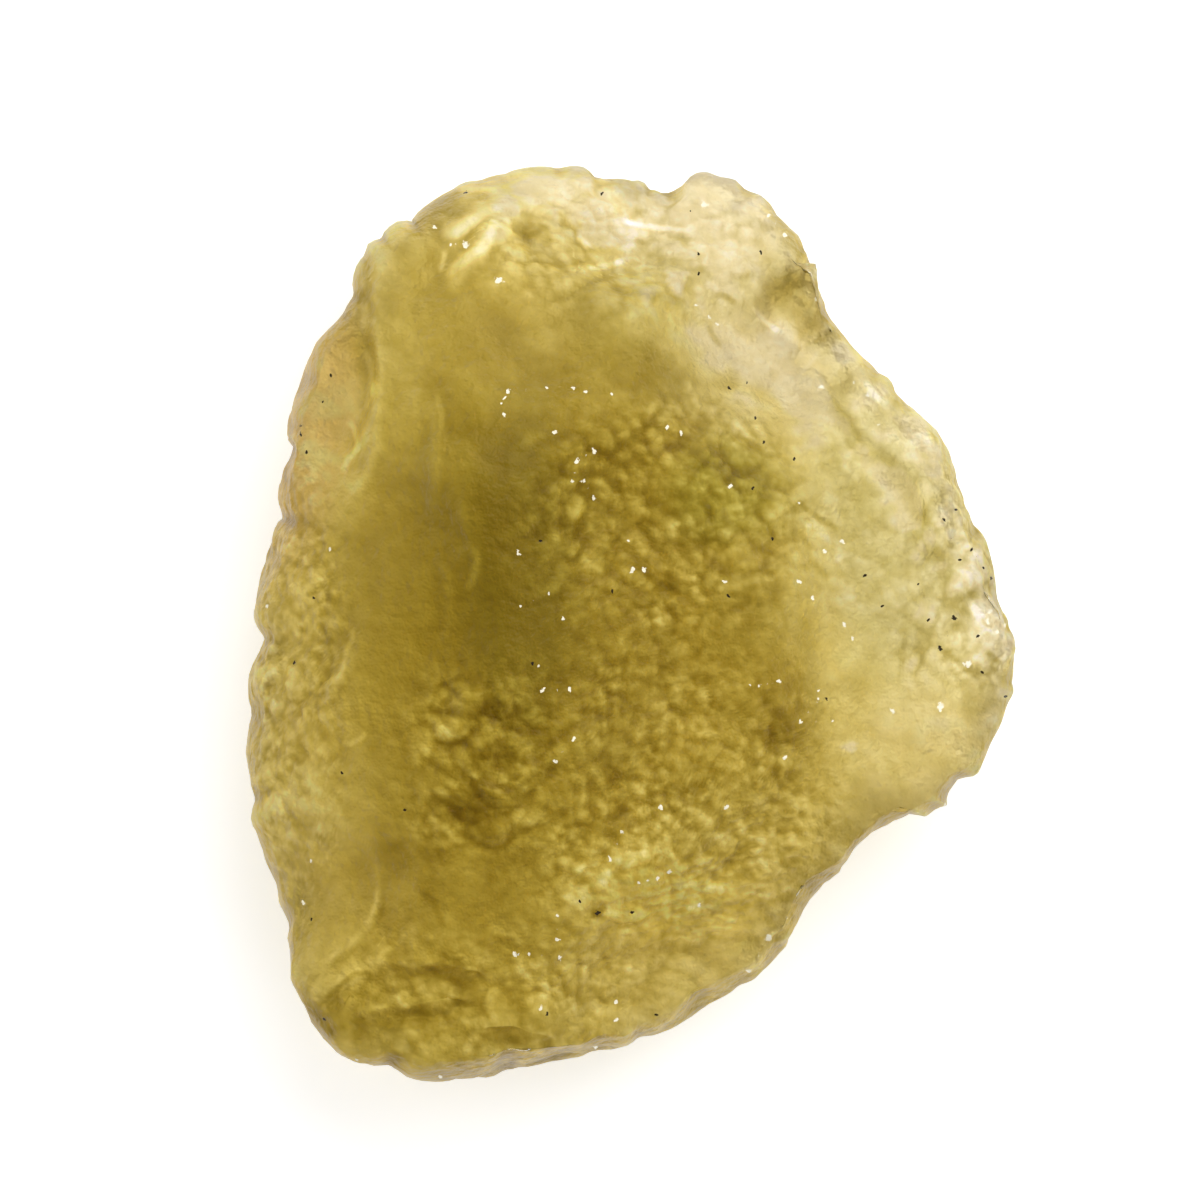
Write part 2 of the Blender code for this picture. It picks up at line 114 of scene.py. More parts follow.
# Ledges of the upper side: how far the stone drops over each, half the width of its steep
# face, how far away the drop has levelled out again, and its line.  The stone is lower
# on the right of the line.
LEDGES = (
    (1, 0.3, 3.2, (-12.4, 18.9), (-13, 16.2), (-13, 14.9), (-12.8, 11.8), (-12.9, 11),
        (-13.7, 8.5), (-14, 7.5)),
    (0.5, 0.4, 2.2, (-13.2, 1.2), (-13.7, -1.2), (-14.3, -3.1), (-16.3, -5.1), (-16.8, -6.5)),
    (1.5, 1.6, 6, (8.8, -9.5), (8.5, -5), (8.7, -1), (8.5, 3), (8, 6), (6.3, 9.8),
        (4.9, 11.5), (4, 14.2)),
    (0.7, 0.4, 2.6, (15.8, 2.5), (15.1, 3.8), (14.6, 5.1), (14.3, 6.6), (13.2, 7.5),
        (11.3, 8.9), (10.4, 10.2), (9.8, 11.3), (8.8, 13.4)),
    (0.5, 0.25, 1.2, (-15.1, -18.8), (-14.3, -18), (-13, -17.4), (-12.4, -17.7)),
    (0.6, 0.3, 1.6, (-13.3, -16.8), (-11.8, -17.1), (-9.9, -17.3), (-8.5, -17.6), (-6.8, -18.1)),
    (0.6, 0.3, 1.5, (-14.2, -19.6), (-13.1, -19.4), (-11.5, -19.4), (-9.3, -19.3), (-8, -19.1)),
    (0.4, 0.25, 1.2, (-7.6, -20.6), (-5.5, -20.7), (-3.3, -20.8)),
    (0.4, 0.25, 1, (-15.9, -18.5), (-15.2, -18.9), (-14.7, -19.6), (-14, -20.6)),
)
LEDGE_ENDS = 0.15  # the share of its length over which a ledge's end fades
FLUTE_ENDS = 0.2  # the same for a flute

# Shell-shaped scars in the lower left corner: middle, radius, depth
SCARS = (
    (-16.3, -13.0, 3.9, 0.75),
    (-15.4, -13.2, 4.9, 0.40),
    (-13.9, -14.0, 4.9, 0.35),
)

# Flutes of the upper end, like the ribs of a feather: height, half width and line
FLUTES = (
    (0.45, 0.55, (-9.5, 16.3), (-8, 17.9), (-6.8, 19.4), (-6.3, 20.5), (-6, 21.4)),
    (0.35, 0.45, (-9.7, 19.3), (-8.2, 19.9), (-6.8, 20.7), (-6.1, 21.3)),
)

# The belly: how far its lowest part and its foot reach from its middle, by direction
BELLY_MIDDLE = (-3.0, -1.0)
BELLY_REACH = (
    (0, 5.0, 18.5),
    (45, 5.5, 19.0),
    (90, 6.0, 21.5),
    (135, 5.5, 18.5),
    (180, 5.0, 16.5),
    (225, 5.5, 19.5),
    (270, 6.0, 20.5),
    (315, 5.5, 16.0),
)
BELLY_BULGE = 0.45  # how much higher the edge of its lowest part is than the middle
BELLY_CALM = (3.0, 8.0, 0.8)  # the lumps fade between these reaches, by this share, inwards
FLAT_DEPTH = 0.30  # what the flat spot takes off the lowest point of the belly
BRIM_HEIGHT = 2.1  # height of the underside outside the belly, in the middle
BRIM_TILT = (0.035, 0.035)  # how much higher it gets per millimetre along X and Y

# Zones of rounded lumps: middle, half sizes, lump size, lump height
LUMP_ZONES = (
    (-7.0, -7.0, 3.8, 4.6, 1.7, 0.62),  # coarse lumps below the crest
    (1.5, 4.5, 7.0, 6.2, 1.35, 0.42),  # middle of the back
    (1.5, -7.5, 7.6, 7.0, 1.15, 0.28),  # finely pitted lower back
    (-0.5, 19.0, 8.0, 4.0, 1.5, 0.32),  # upper end
    (15.8, 2.5, 4.0, 7.5, 1.6, 0.34),  # right rim
    (-16.6, -4.0, 2.2, 4.5, 1.0, 0.30),  # left rim
    (-10.0, -19.5, 6.5, 3.0, 1.6, 0.30),  # lower left ledges
    (2.5, -17.5, 8.0, 4.0, 1.8, 0.22),  # lower end
)
UNDERSIDE_LUMP = (2.3, 0.55)  # size and height of the lumps under the stone
ZONE_EDGE = (0.7, 1.15)  # the shares of a zone's half size between which it ends
LUMP_BEND = 0.75  # how far lumps and pits are bent out of even cells, in their own sizes
BEND_SCALE = 0.8  # how many bends there are per lump or pit
BEND_SEED = 1795638258  # the way they are bent, the same as in the part
EVENNESS = 0.6  # mean height of lumps and depth of pits
EVENNESS_CHANGE = 0.8  # how much that changes from place to place
EVENNESS_SCALE = 0.6  # how many such places there are per lump or pit
LUMP_MEAN = 0.5
LUMP_FALL = 1.6  # how quickly a lump falls to the creases around it
PIT_MEAN = 0.6
PIT_RISE = 1.9  # how quickly a pit rises to the crests around it
TOP_TURN = (-0.3, 0.3)  # how far up the skin faces where its underside turns into its top
SWELLS = ((9.0, 1.1), (4.0, 0.45))  # size and height of the broad swells all over it

# Zones of etched pits: middle, half sizes, pit width, pit depth, how much mottling and painted
# knob light and shade
PIT_ZONES = (
    (1.5, -8.5, 9.5, 8.5, 0.75, 0.16, 0.75),  # lower back
    (1.5, 4.5, 8.0, 7.5, 1.0, 0.12, 0.85),  # middle of the back
    (-7.5, -7.0, 4.5, 6.5, 0.8, 0.10, 0.85),  # below the crest
    (-16.4, -3.0, 2.8, 12.0, 0.7, 0.12, 0.55),  # left rim
    (17.2, 0.5, 2.4, 5.0, 0.65, 0.14, 0.50),  # right rim
    (0.0, 18.5, 9.5, 4.2, 0.9, 0.10, 0.40),  # upper end
    (-6.0, -18.5, 9.5, 4.5, 0.9, 0.08, 0.65),  # lower end
    (12.5, 5.0, 5.5, 8.0, 1.2, 0.06, 0.30),  # right flank
)
LEAST_MOTTLED = 0.12  # the smooth left flank
MOTTLING_CHANGE = 0.8  # how much the mottling comes and goes, over how many millimetres
MOTTLING_CHANGE_SIZE = 3.2
# the last value also sets how strongly the knobs' painted light and shade show under the stone
UNDERSIDE_PIT = (0.9, 0.14, 0.6)  # width and depth of the pits under the stone, how mottled
GRAINS = ((1.6, 0.07), (0.8, 0.035))  # size and height of the grain all over it

# Low ridges and edges of the smooth left flank: height, half width, line
RIDGELETS = (
    (0.1, 0.34, (-9.6, 11.5), (-9.5, 8.5), (-9.5, 6), (-9.9, 4.6)),
    (0.07, 0.3, (-8.3, 6.4), (-8, 4.5), (-7.5, 3), (-7.6, 2), (-8.2, 1.2)),
    (0.07, 0.3, (-9.2, 3.2), (-8.9, 1.5), (-8.9, -0.2), (-9.6, -1.6)),
    (0.1, 0.3, (-12.9, 13), (-12.4, 10.6), (-12.4, 8.6), (-13, 7), (-14, 5.6)),
)

# How the skin takes up red, green and blue light: all over it, and more per millimetre of
# glass below it.  The last row is each colour's share of any darker place.
SKIN_DEPTH = (-0.09, 0.07, 0.52)
SKIN_DEPTH_PER_MM = (0.072, 0.088, 0.255)
STEEP_DEPTH = (0.05, 0.16, 1.2)  # more where the skin stands steeply, as at the rim
STEEP_TURN = (0.15, 0.85)  # how far up the skin faces where that ends
RESTING_DEPTH = (0.12, 0.18, 0.75)  # more on the underside, near where the stone rests
RESTING_HEIGHTS = (0.1, 0.8)  # the height over which that fades
SHADE_BY_COLOUR = (1.0, 1.15, 2.2)
CLEAR_THICKNESS = 1.5  # glass thinner than this adds nothing to the skin's colour
LIGHTEST_SKIN = (0.95, 0.82, 0.50)

# Painted shade in the skin's creases and painted light on its crests: rounds of smoothing that a
# crease is measured against, its depth, how much darker it is
CREASE_SHADES = (
    (3, 0.02, 0.10),
    (9, 0.06, 0.14),
    (40, 0.22, 0.20),
)

TOP_SKIN = 2.0  # how many times darker the marked skin is than the marks look
CLOUD_BEND = 0.30  # how ragged the edges of the clouds are
CLOUD_BEND_SIZE = 0.8
CLOUD_EDGE = (0.45, 1.25)  # the shares of a cloud's half size between which it ends
MARKED_TURN = (-0.1, 0.2)  # how far up the skin faces where the clouds and streaks begin

# Clouds of the upper side: middle, half sizes, how much darker, and degrees turned if any
CLOUDS = (
    # Broad lighter and darker areas
    (-14.5, 9, 2.2, 4.8, -0.15, 8), (-2.7, 3.5, 1.7, 3.1, -0.1), (1.3, 16, 4, 1.7, -0.14, -38),
    (9.3, 1, 2.1, 6.8, -0.16, 3), (0.3, -13.5, 5.5, 2.3, -0.22, -6), (8.1, 16, 0.9, 3.1, 0.2, 28),
    (3, 8.5, 1.9, 1.7, 0.13), (17.4, -3.5, 1, 1.8, 0.12), (-7.6, -9.8, 1.5, 2, 0.09),
    (16.2, -0.5, 1, 2.1, 0.1), (-14.6, -19.5, 2.1, 1.2, 0.22, -20), (-0.2, 0, 8.2, 10.8, 0.07),
    (7.3, -4.8, 1.8, 3, 0.2), (3.5, -4, 1.4, 2, -0.07), (-11.7, 11, 2.2, 3.5, -0.09),
    (-11.5, -19, 2, 1.2, 0.07), (-6.6, 6, 1.2, 4, 0.06), (3.5, 13.5, 2.2, 1.4, -0.1),
    (-10.5, 18.2, 1.5, 1.5, 0.07), (-7.5, 14.5, 2, 2.5, 0.06), (-1.7, 19.8, 2, 1.2, -0.1),
    (4.1, 17.9, 1.7, 1.2, -0.06), (-9.5, 20.2, 1.8, 1.3, 0.08, 20), (8, 19.8, 1.1, 2.2, 0.12, 25),
    (-14.2, -8.5, 1.8, 4.5, -0.1), (-15, 7.5, 2, 4.5, -0.05, 8), (-7.7, -8.5, 2, 3.1, 0.13),
    (-1, 8.5, 4.5, 2.5, 0.08), (-4.7, -2.4, 1.1, 1.1, -0.08),
    # Upper end
    (-4.2, 21.5, 2, 0.7, -0.28), (-5.5, 20.9, 0.9, 0.6, -0.15), (-1, 19.2, 1.6, 0.8, -0.28),
    (-2.9, 20.6, 1.5, 0.65, -0.12), (-8.7, 20.8, 2, 0.7, 0.14, 28), (-7.7, 19, 1.2, 0.35, 0.14, 35),
    (-4.5, 19.2, 1, 0.55, 0.16), (4.4, 21.7, 0.75, 0.55, -0.5, -35), (4.5, 17.6, 0.9, 1.7, -0.14),
    (6.6, 18.8, 1.4, 1.2, 0.1),
    # Upper right
    (0.8, 12.4, 2.6, 1.5, 0.16, -15), (5.6, 13.2, 2.5, 0.85, -0.12, 15),
    (11, 13.4, 1.1, 0.7, -0.14, 20), (8.5, 11, 1.7, 1.2, -0.12, -30),
    (10.6, 11.8, 0.55, 0.8, 0.13, -20), (14.3, 9.9, 1.1, 1, -0.16, -40), (15, 8.4, 1, 0.8, -0.1),
    (13.3, 5.8, 1.2, 1.7, -0.12, 35), (12.1, 7.4, 1.4, 0.65, -0.08, -40),
    (8.5, 8.8, 1.3, 1.7, -0.08), (5.3, 7.4, 1.4, 1.7, 0.14, -10), (16.3, 0.2, 0.75, 0.65, 0.1),
    (17.9, 0.4, 0.85, 1.1, -0.3), (18.4, -1.1, 0.6, 0.9, -0.18), (10.8, -6.2, 0.5, 0.3, -0.2),
    # Middle of the back
    (-2.5, 5.4, 0.8, 0.6, -0.15), (3, 5.4, 0.85, 0.7, -0.11, 30), (1.8, 4, 0.65, 0.45, -0.13, -20),
    (-1.7, 2.7, 1, 0.55, -0.14), (-4, 1.7, 0.8, 0.4, -0.15, 30), (1.3, 8.5, 0.85, 0.4, -0.11, -30),
    (-5, 8.8, 0.85, 0.35, -0.15, 30), (1.7, 2.1, 0.75, 0.35, 0.16, -25),
    (-0.9, 8.2, 1, 0.6, 0.11, -20), (-2.7, 4.7, 0.75, 0.2, 0.12),
    # Coarse lumps below the crest, with painted light on the lumps and painted shade beside them
    (-8.9, -5.1, 1.1, 0.6, -0.16, -5), (-8.3, -6.2, 0.85, 0.35, 0.15, 15),
    (-7, -5.5, 1.1, 0.7, -0.14, 10), (-6.5, -6.7, 1.2, 0.3, 0.2), (-7.4, -7.5, 0.75, 0.35, -0.14),
    (-5.1, -7.2, 0.55, 0.65, -0.12), (-8, -9, 1.8, 1, 0.12), (-5.5, -3.4, 0.9, 0.55, -0.16, 45),
    (-5.4, -4.1, 1.8, 0.25, 0.17), (-7.2, -4.3, 0.5, 0.3, 0.14), (-11.7, -11.5, 0.85, 0.8, 0.1),
    (-9.5, -11.5, 1.3, 0.5, 0.08), (-5.2, -9.8, 0.8, 0.6, -0.12), (2.3, -1.6, 0.4, 0.4, -0.14),
    # Left rim
    (-15.5, -7.5, 0.9, 1.1, -0.09),
    # Scarp's lower end
    (7.5, -8.1, 1.2, 1, 0.12), (7.4, -5.5, 1.2, 1, 0.1),
    # Lower end
    (-10, -13.3, 0.6, 0.9, 0.12, 35), (-12.7, -18.3, 1.4, 0.45, 0.12, 10),
    (-8.9, -16.8, 1.3, 0.7, 0.09), (-10.5, -19.8, 2.1, 0.35, 0.11), (-1.6, -14.4, 0.35, 0.3, 0.45),
)

# Thin light and dark streaks of the upper side, partly the skin's own tone and partly painted
# highlights along ridges and edges with painted shade beside them: half width, how much darker,
# and the line
STREAKS = (
    # Painted highlights along the flutes of the upper end, its pale feathers and a few darker
    # streaks
    (0.35, -0.22, (-9.4, 16.9), (-8.3, 17.7), (-7.2, 18.6), (-6.8, 19.4), (-6.2, 20.2)),
    (0.3, -0.16, (-9, 18.9), (-8.1, 19.7), (-7, 20.3), (-6.1, 20.6)),
    (0.15, -0.22, (-9.2, 18.4), (-9.3, 17.6), (-9.4, 16.9)),
    (0.2, -0.22, (-6.3, 20.2), (-6.1, 19.6), (-5.7, 19)),
    (0.2, -0.2, (-3.5, 18.2), (-3.1, 17.8), (-2.8, 17.1)),
    (0.17, -0.22, (-2.2, 17.9), (-1.9, 17.5), (-1.2, 17.6), (-0.2, 17.9)),
    (0.17, -0.18, (-2.7, 19.2), (-2.4, 18.8), (-2, 18.4)),
    (0.2, 0.14, (-5.7, 19.2), (-5.1, 19), (-4.5, 19.4), (-4, 19.6)),
    (0.25, 0.12, (-1.5, 16.5), (1, 16), (3, 15.6)),
    (0.15, 0.22, (4.1, 16.1), (4.6, 16.1), (5.3, 15.7)),
    (0.15, -0.16, (6.1, 15.6), (6.5, 15.1), (7.5, 14.3)),
    (0.15, 0.14, (3.8, 14.8), (4.1, 14.1), (4.5, 13.6)),
    (0.2, -0.16, (-8.7, 21.4), (-7.5, 21.5), (-6.5, 21.4)),
    (0.15, -0.18, (-0.5, 19.9), (1, 19.6), (3, 19.4)),
    # Dark crescent and pale tongue at the upper right
    (0.55, 0.16, (9.8, 11.8), (10.3, 10.6), (11.1, 9.2), (12.5, 8), (13.8, 6.7), (14.3, 5.4),
        (14.8, 3.9), (15.8, 2.4), (16.6, 1.4)),
    (0.15, 0.14, (8.1, 6), (8.7, 5.5), (9.4, 5), (10.5, 4.4)),
    (0.17, 0.14, (6.1, 5.6), (6.5, 4.8), (7.1, 4)),
    (0.2, 0.1, (8.4, 4.6), (8.7, 3.8), (8.9, 3), (9.8, 1.9)),
    (0.2, -0.14, (11.6, 12), (12.1, 11.2), (12.9, 10.5)),
    (0.2, 0.18, (16.8, 1), (17.1, 1.5), (17.3, 1.9)),
    (0.15, 0.2, (17.7, -1.5), (18.2, -2), (18.6, -2.2)),
    (0.2, -0.22, (16.8, 1.1), (17.2, 0.5), (17.6, 0)),
    # Painted highlights along the thin edges of the smooth left flank
    (0.2, -0.16, (-13.1, 15.7), (-13.1, 15), (-13.2, 14.2)),
    (0.2, -0.14, (-13.2, 13.6), (-12.9, 12.9), (-12.7, 11.8), (-12.8, 10.9), (-13.1, 10.2)),
    (0.15, -0.16, (-14, 10), (-13.6, 9.4), (-13.4, 8.5), (-13.9, 7.9), (-14.1, 7.5), (-14.1, 7.1)),
    (0.15, -0.12, (-9.6, 11.2), (-9.2, 10.2), (-9.3, 9)),
    (0.2, -0.12, (-7.6, 3.8), (-7.5, 3), (-7.8, 1.8), (-8.2, 1.4)),
    (0.15, -0.14, (-13.7, -0.2), (-13.7, -1), (-14, -1.5), (-14.1, -2.4), (-14.4, -3.1)),
    # Coarse lumps
    (0.15, 0.16, (-9.5, -3.2), (-8.7, -3), (-8.1, -2.6)),
    (0.15, -0.14, (-10, -5.5), (-9.2, -5.8), (-8.2, -5.7), (-7.7, -5), (-7.6, -4.5)),
    (0.15, -0.16, (-14, -6.2), (-13.2, -5.8), (-12.9, -5.4)),
    (0.15, -0.14, (-9, -10.3), (-8.7, -10.7), (-7.7, -10.9), (-7.2, -10.5)),
    (0.15, 0.14, (0.7, 2.4), (1.3, 1.9), (2.3, 1.5), (2.5, 1.2)),
    (0.15, 0.12, (3, 0), (3.5, -1), (3.3, -2)),
    # Painted light and shade along the shell scars and ledges of the lower left
    (0.15, -0.15, (-12.4, -13), (-12.5, -14), (-12.8, -14.8), (-13.2, -15.2)),
    (0.15, 0.12, (-12.2, -13.2), (-12.2, -14.1), (-12.5, -14.9), (-12.9, -15.4)),
    (0.17, -0.13, (-13.2, -15.2), (-13.9, -16.1), (-15, -16.8), (-15.4, -17)),
    (0.17, 0.1, (-13.2, -15.7), (-14, -16.5), (-15, -17.1)),
    (0.15, -0.14, (-11.1, -15.1), (-11.3, -15.8), (-12, -16.2), (-12.6, -16.8)),
    (0.2, 0.14, (-10.3, -13.1), (-9.6, -13.9), (-9.2, -15.2)),
    (0.15, 0.22, (-15.2, -18.9), (-14.2, -17.9), (-13.6, -17.4), (-13, -17.3), (-12.5, -17.7)),
    (0.25, 0.16, (-11.7, -16.9), (-11, -17.4), (-9.7, -17.2), (-8.6, -17.8), (-7.1, -18.1)),
    (0.15, 0.13, (-13.6, -19.6), (-12.5, -19.3), (-11, -19.4), (-9, -19.2)),
    (0.12, -0.22, (-15.8, -18.6), (-15.2, -18.9), (-14.9, -19.5)),
    (0.15, -0.2, (6.5, -16.1), (6.9, -15.8), (7.4, -15.4)),
    # Fine ripples of the lower back
    (0.15, 0.12, (6.9, -9.6), (7.8, -9.4), (8.8, -9.6)),
    (0.15, 0.12, (7.1, -10.5), (8, -10.3), (9.1, -10.4)),
    (0.15, 0.12, (6.6, -11.3), (7.5, -11.2), (8.5, -11.3)),
    (0.15, 0.1, (3.5, -11.4), (5, -11.6), (6.3, -11.5)),
)

# Stains that change the hue: middle, half sizes, degrees turned, how much more red, green
# and blue they take up
STAINS = (
    (-5.6, 2.5, 2.6, 9.5, 0, (0.2, 0.18, 0.2)),  # dark band along the crest
    (4.6, 6.4, 3.2, 2.8, 0, (0.14, 0.08, 0.2)),  # greenish, upper right of the back
    (-16, 9.5, 2.6, 7.5, -12, (-0.06, 0.04, -0.08)),  # pinkish left rim
    (18.4, 0.5, 2.2, 9, 5, (0, -0.04, -0.25)),  # pale right rim
    (12.8, 4.5, 4.6, 9.5, 15, (0, -0.08, -0.42)),  # pale right flank
    (11.2, -4, 2.6, 5.5, 0, (-0.1, -0.13, -0.3)),  # foot of the scarp
    (1.5, 14, 7, 4, -20, (0, -0.02, -0.12)),  # below the upper end
    (-11, 9, 3.5, 6, 0, (-0.08, -0.1, -0.3)),  # top of the left flank
    (4, 19, 5, 3.5, 0, (0, -0.05, -0.4)),  # pale upper rim
    (5, 12.5, 4.2, 4, 0, (-0.1, -0.14, -0.5)),  # pale tongue
    (13.5, -6.5, 3.5, 3.5, 0, (-0.1, -0.12, -0.35)),  # pale lower right corner
    (2.6, -13.9, 4.2, 2.6, 0, (0.04, 0.08, 0.45)),  # yellower patch of the lower back
)

# Streaks, specks of dirt and bright chip marks with painted glints: how far out each is kept, and
# the least gap
MARK_REACH = 0.9
MARK_GAP = 0.3
STREAK_FADE = 0.6  # the share of its reach from which a streak fades

# Specks of dirt in the pits: radius, and the places of specks of that radius
SPECKS = (
    (0.1, (-8.2, 21.3), (-1.4, 21.3), (2.7, 20.5), (3, 20.4), (3.4, 18.2), (3.4, 17.2), (6.5, 18.3),
        (4.9, 11.5), (6.2, 10), (6.6, 8.8), (8.1, 8), (6, 6.5), (7, 4), (16.2, 5.5), (15.6, 5),
        (17, 3.5), (16.4, 3), (17.6, 2.6), (18, 2.1), (11.6, 2.2), (12.5, 0.7), (14.8, 0),
        (17.3, -0.8), (17.5, -2.6), (18.7, -3.8), (9.7, -3.9), (8.5, -13.2), (1.3, -19.6),
        (-14.8, 12.1), (-15.7, 11.4), (-15.4, 11.4), (-16.3, 9.6), (-16.3, 9.2), (-15.3, 9.7),
        (-15.2, 9.6), (-16, 8.3), (-4.4, 3.9), (-15.6, 1.1), (-16.6, -2.1), (-14.2, -7.5),
        (-11.1, -9.3), (-0.9, 1.4), (-4.8, -2.1), (-2.5, -13.8), (0.1, -14.4), (-15.8, -14.8),
        (-4.1, -19.4), (-15.1, -19.7), (4.8, 1.2)),
    (0.07, (5.8, 11.8), (14.3, 1.8), (-15.2, 10.8)),
    (0.16, (16.1, 0.1), (15.4, -1.4), (-1.6, -14.4)),
)

# Small bright chip marks, partly crushed glass and partly painted glints: radius and places
CHIPS_AND_GLINTS = (
    (0.13, (-9.7, 19.5), (-6, 11.2), (-6.3, 10.6), (-6.2, 10.1), (-2.8, 11.4), (-2.2, 11.2),
        (-3.7, 9.2), (-1.8, 8.3), (-2.6, 7.8), (-2.8, 6.8), (-2.3, 6.8), (-1.8, 6), (-5.5, 3.3),
        (3.3, 15.6), (4.3, 14.7), (4, 15), (6.9, 20.2), (7.7, 19.2), (9.3, 16), (9.5, 11.6),
        (11.8, 11.2), (1.8, 9.5), (2.5, 9.2), (4.9, 6.6), (9.6, 3.4), (10.5, 3.9), (-4.3, -3.4),
        (-3, -3.4), (-2.8, -5.8), (-3.7, -6.9), (-0.4, -10.4), (-1, -11.7), (-16.2, -14),
        (4.6, 1.9), (8.3, 1.9), (9, 1.1), (10.6, -0.2), (6.3, -3.2), (7.3, -3), (9.3, -3.5),
        (9.3, -3.9), (8.4, -5), (10.8, -6), (7.6, -6.8), (13, -4.5), (1.5, -9.2), (4.7, -9.2),
        (0.4, -12.9), (0.8, -12.8), (1.3, -12.7), (1.9, -12.4), (3.4, -14.1), (17.8, -0.1),
        (18.3, -0.6), (18.7, -0.3), (-5.7, -16.4), (-3.5, -16.6), (-3.6, -15.7), (-4.4, -19.1),
        (-0.7, -18.9), (-0.7, -19.8), (-1.7, -21.3), (-9.4, -22.6), (5.9, -17.5)),
    (0.22, (-8.2, 18.6), (-6.5, 16.8), (3.7, 15.3), (3.7, 20.7), (0.2, 2.5), (0.6, 2.5), (11, -6.2),
        (15.4, -4.3), (16.8, -2.2), (17.9, 0.4), (6.9, -15.8)),
    (0.09, (-8.9, 18.6), (-4.1, 11.4), (-0.9, 11.1), (-14.8, 3.5), (-0.1, 3.9), (11.1, 11.8),
        (12.3, 9.7), (8.3, 5.8), (-18, 0.7), (-5.4, 0.7), (-3.3, 0.1), (-4, 1.3), (-4.5, -2.2),
        (-15.8, -11.9), (-3.6, -14.5), (11, -0.9), (5.9, -3.2), (10, -5), (15.7, -9.2), (-5, -16.4),
        (-13.5, -21.7)),
)


def smooth_step(low, high, value):
    """0 below low, 1 above high, and an even turn between them."""
    share = np.clip((value - low) / (high - low), 0.0, 1.0)
    return share * share * (3.0 - 2.0 * share)


def closed_curve(angles, values, wanted):
    """The values of a closed smooth curve that never swings past its own points."""
    order = np.argsort(angles)
    turn = 2.0 * math.pi
    angle = angles[order]
    value = values[order]
    angle = np.concatenate((angle[-2:] - turn, angle, angle[:2] + turn))
    value = np.concatenate((value[-2:], value, value[:2]))
    run = np.diff(angle)
    rise = np.diff(value) / run
    product = rise[:-1] * rise[1:]
    inner = np.where(product > 0.0, 2.0 * product / (rise[:-1] + rise[1:] + 1e-12), 0.0)
    slope = np.concatenate(([0.0], inner, [0.0]))
    wanted = np.mod(wanted - angle[1], turn) + angle[1]
    place = np.clip(np.searchsorted(angle, wanted) - 1, 0, len(run) - 1)
    share = (wanted - angle[place]) / run[place]
    rest = 1.0 - share
    return (
        value[place] * (1.0 + 2.0 * share) * rest**2
        + slope[place] * run[place] * share * rest**2
        + value[place + 1] * share**2 * (3.0 - 2.0 * share)
        - slope[place + 1] * run[place] * share**2 * rest
    )


def rim_distance(angle):
    """How far the rim is from the middle of the stone in each direction."""
    points = np.array(OUTLINE) - np.array(MIDDLE)
    angles = np.arctan2(points[:, 1], points[:, 0])
    return closed_curve(angles, np.hypot(points[:, 0], points[:, 1]), angle)


def distance_to_line(x, y, line):
    """Distance to a line of points, above 0 on its right, and the place along it, 0 to 1."""
    nearest = np.full(x.shape, np.inf)
    signed = np.zeros(x.shape)
    along = np.zeros(x.shape)
    starts = np.array(line[:-1])
    steps = np.diff(np.array(line), axis=0)
    lengths = np.hypot(steps[:, 0], steps[:, 1])
    passed = 0.0
    for start, step, length in zip(starts, steps, lengths):
        dx = x - start[0]
        dy = y - start[1]
        share = np.clip((dx * step[0] + dy * step[1]) / length**2, 0.0, 1.0)
        distance = np.hypot(dx - share * step[0], dy - share * step[1])
        side = np.where(dx * step[1] - dy * step[0] > 0.0, 1.0, -1.0)
        closer = distance < nearest
        nearest = np.where(closer, distance, nearest)
        signed = np.where(closer, side * distance, signed)
        along = np.where(closer, (passed + share * length) / lengths.sum(), along)
        passed += length
    return signed, along


def between_ends(along, fade):
    """1 along most of a line, turning to 0 towards both of its ends."""
    return smooth_step(0.0, fade, along) * smooth_step(0.0, fade, 1.0 - along)


def ledge(x, y, drop, half_width, reach, line):
    """A step over a line that levels out on both sides and towards the line's ends."""
    signed, along = distance_to_line(x, y, line)
    step = np.tanh(signed / half_width) * np.exp(-np.abs(signed) / reach)
    return -0.5 * drop * step * between_ends(along, LEDGE_ENDS)


def flute(x, y, height, half_width, line):
    """A rounded rib along a line, fading at its ends."""
    signed, along = distance_to_line(x, y, line)
    return height * np.exp(-((signed / half_width) ** 2)) * between_ends(along, FLUTE_ENDS)


def oval(x, y, centre_x, centre_y, half_x, half_y, turned, edge):
    """1 inside a turned oval, going to 0 across its edge."""
    turn = math.radians(turned)
    dx = x - centre_x
    dy = y - centre_y
    across = (dx * math.cos(turn) + dy * math.sin(turn)) / half_x
    along = (dy * math.cos(turn) - dx * math.sin(turn)) / half_y
    return 1.0 - smooth_step(*edge, np.hypot(across, along))


def upper_height(x, y):
    """Height of the upper side before its lumps: facets, hollows, ledges, scars, flutes."""
    total = np.zeros(x.shape)
    for point_x, point_y, height, falls_to, slope in TOP_FACETS:
        way = math.radians(falls_to)
        fall = slope * (math.cos(way) * (x - point_x) + math.sin(way) * (y - point_y))
        total += np.exp(-(height - fall) / FACET_BLEND)
    ground = -FACET_BLEND * np.log(total)
    for *hollow, depth in HOLLOWS:
        ground -= depth * oval(x, y, *hollow, 0.0, HOLLOW_EDGE)
    for drop, half_width, reach, *line in LEDGES:
        ground += ledge(x, y, drop, half_width, reach, line)
    for height, half_width, *line in FLUTES:
        ground += flute(x, y, height, half_width, line)
    for scar_x, scar_y, radius, depth in SCARS:
        distance = np.hypot(x - scar_x, y - scar_y) / radius
        ground -= depth * np.clip(1.0 - distance**2, 0.0, 1.0)
    return ground


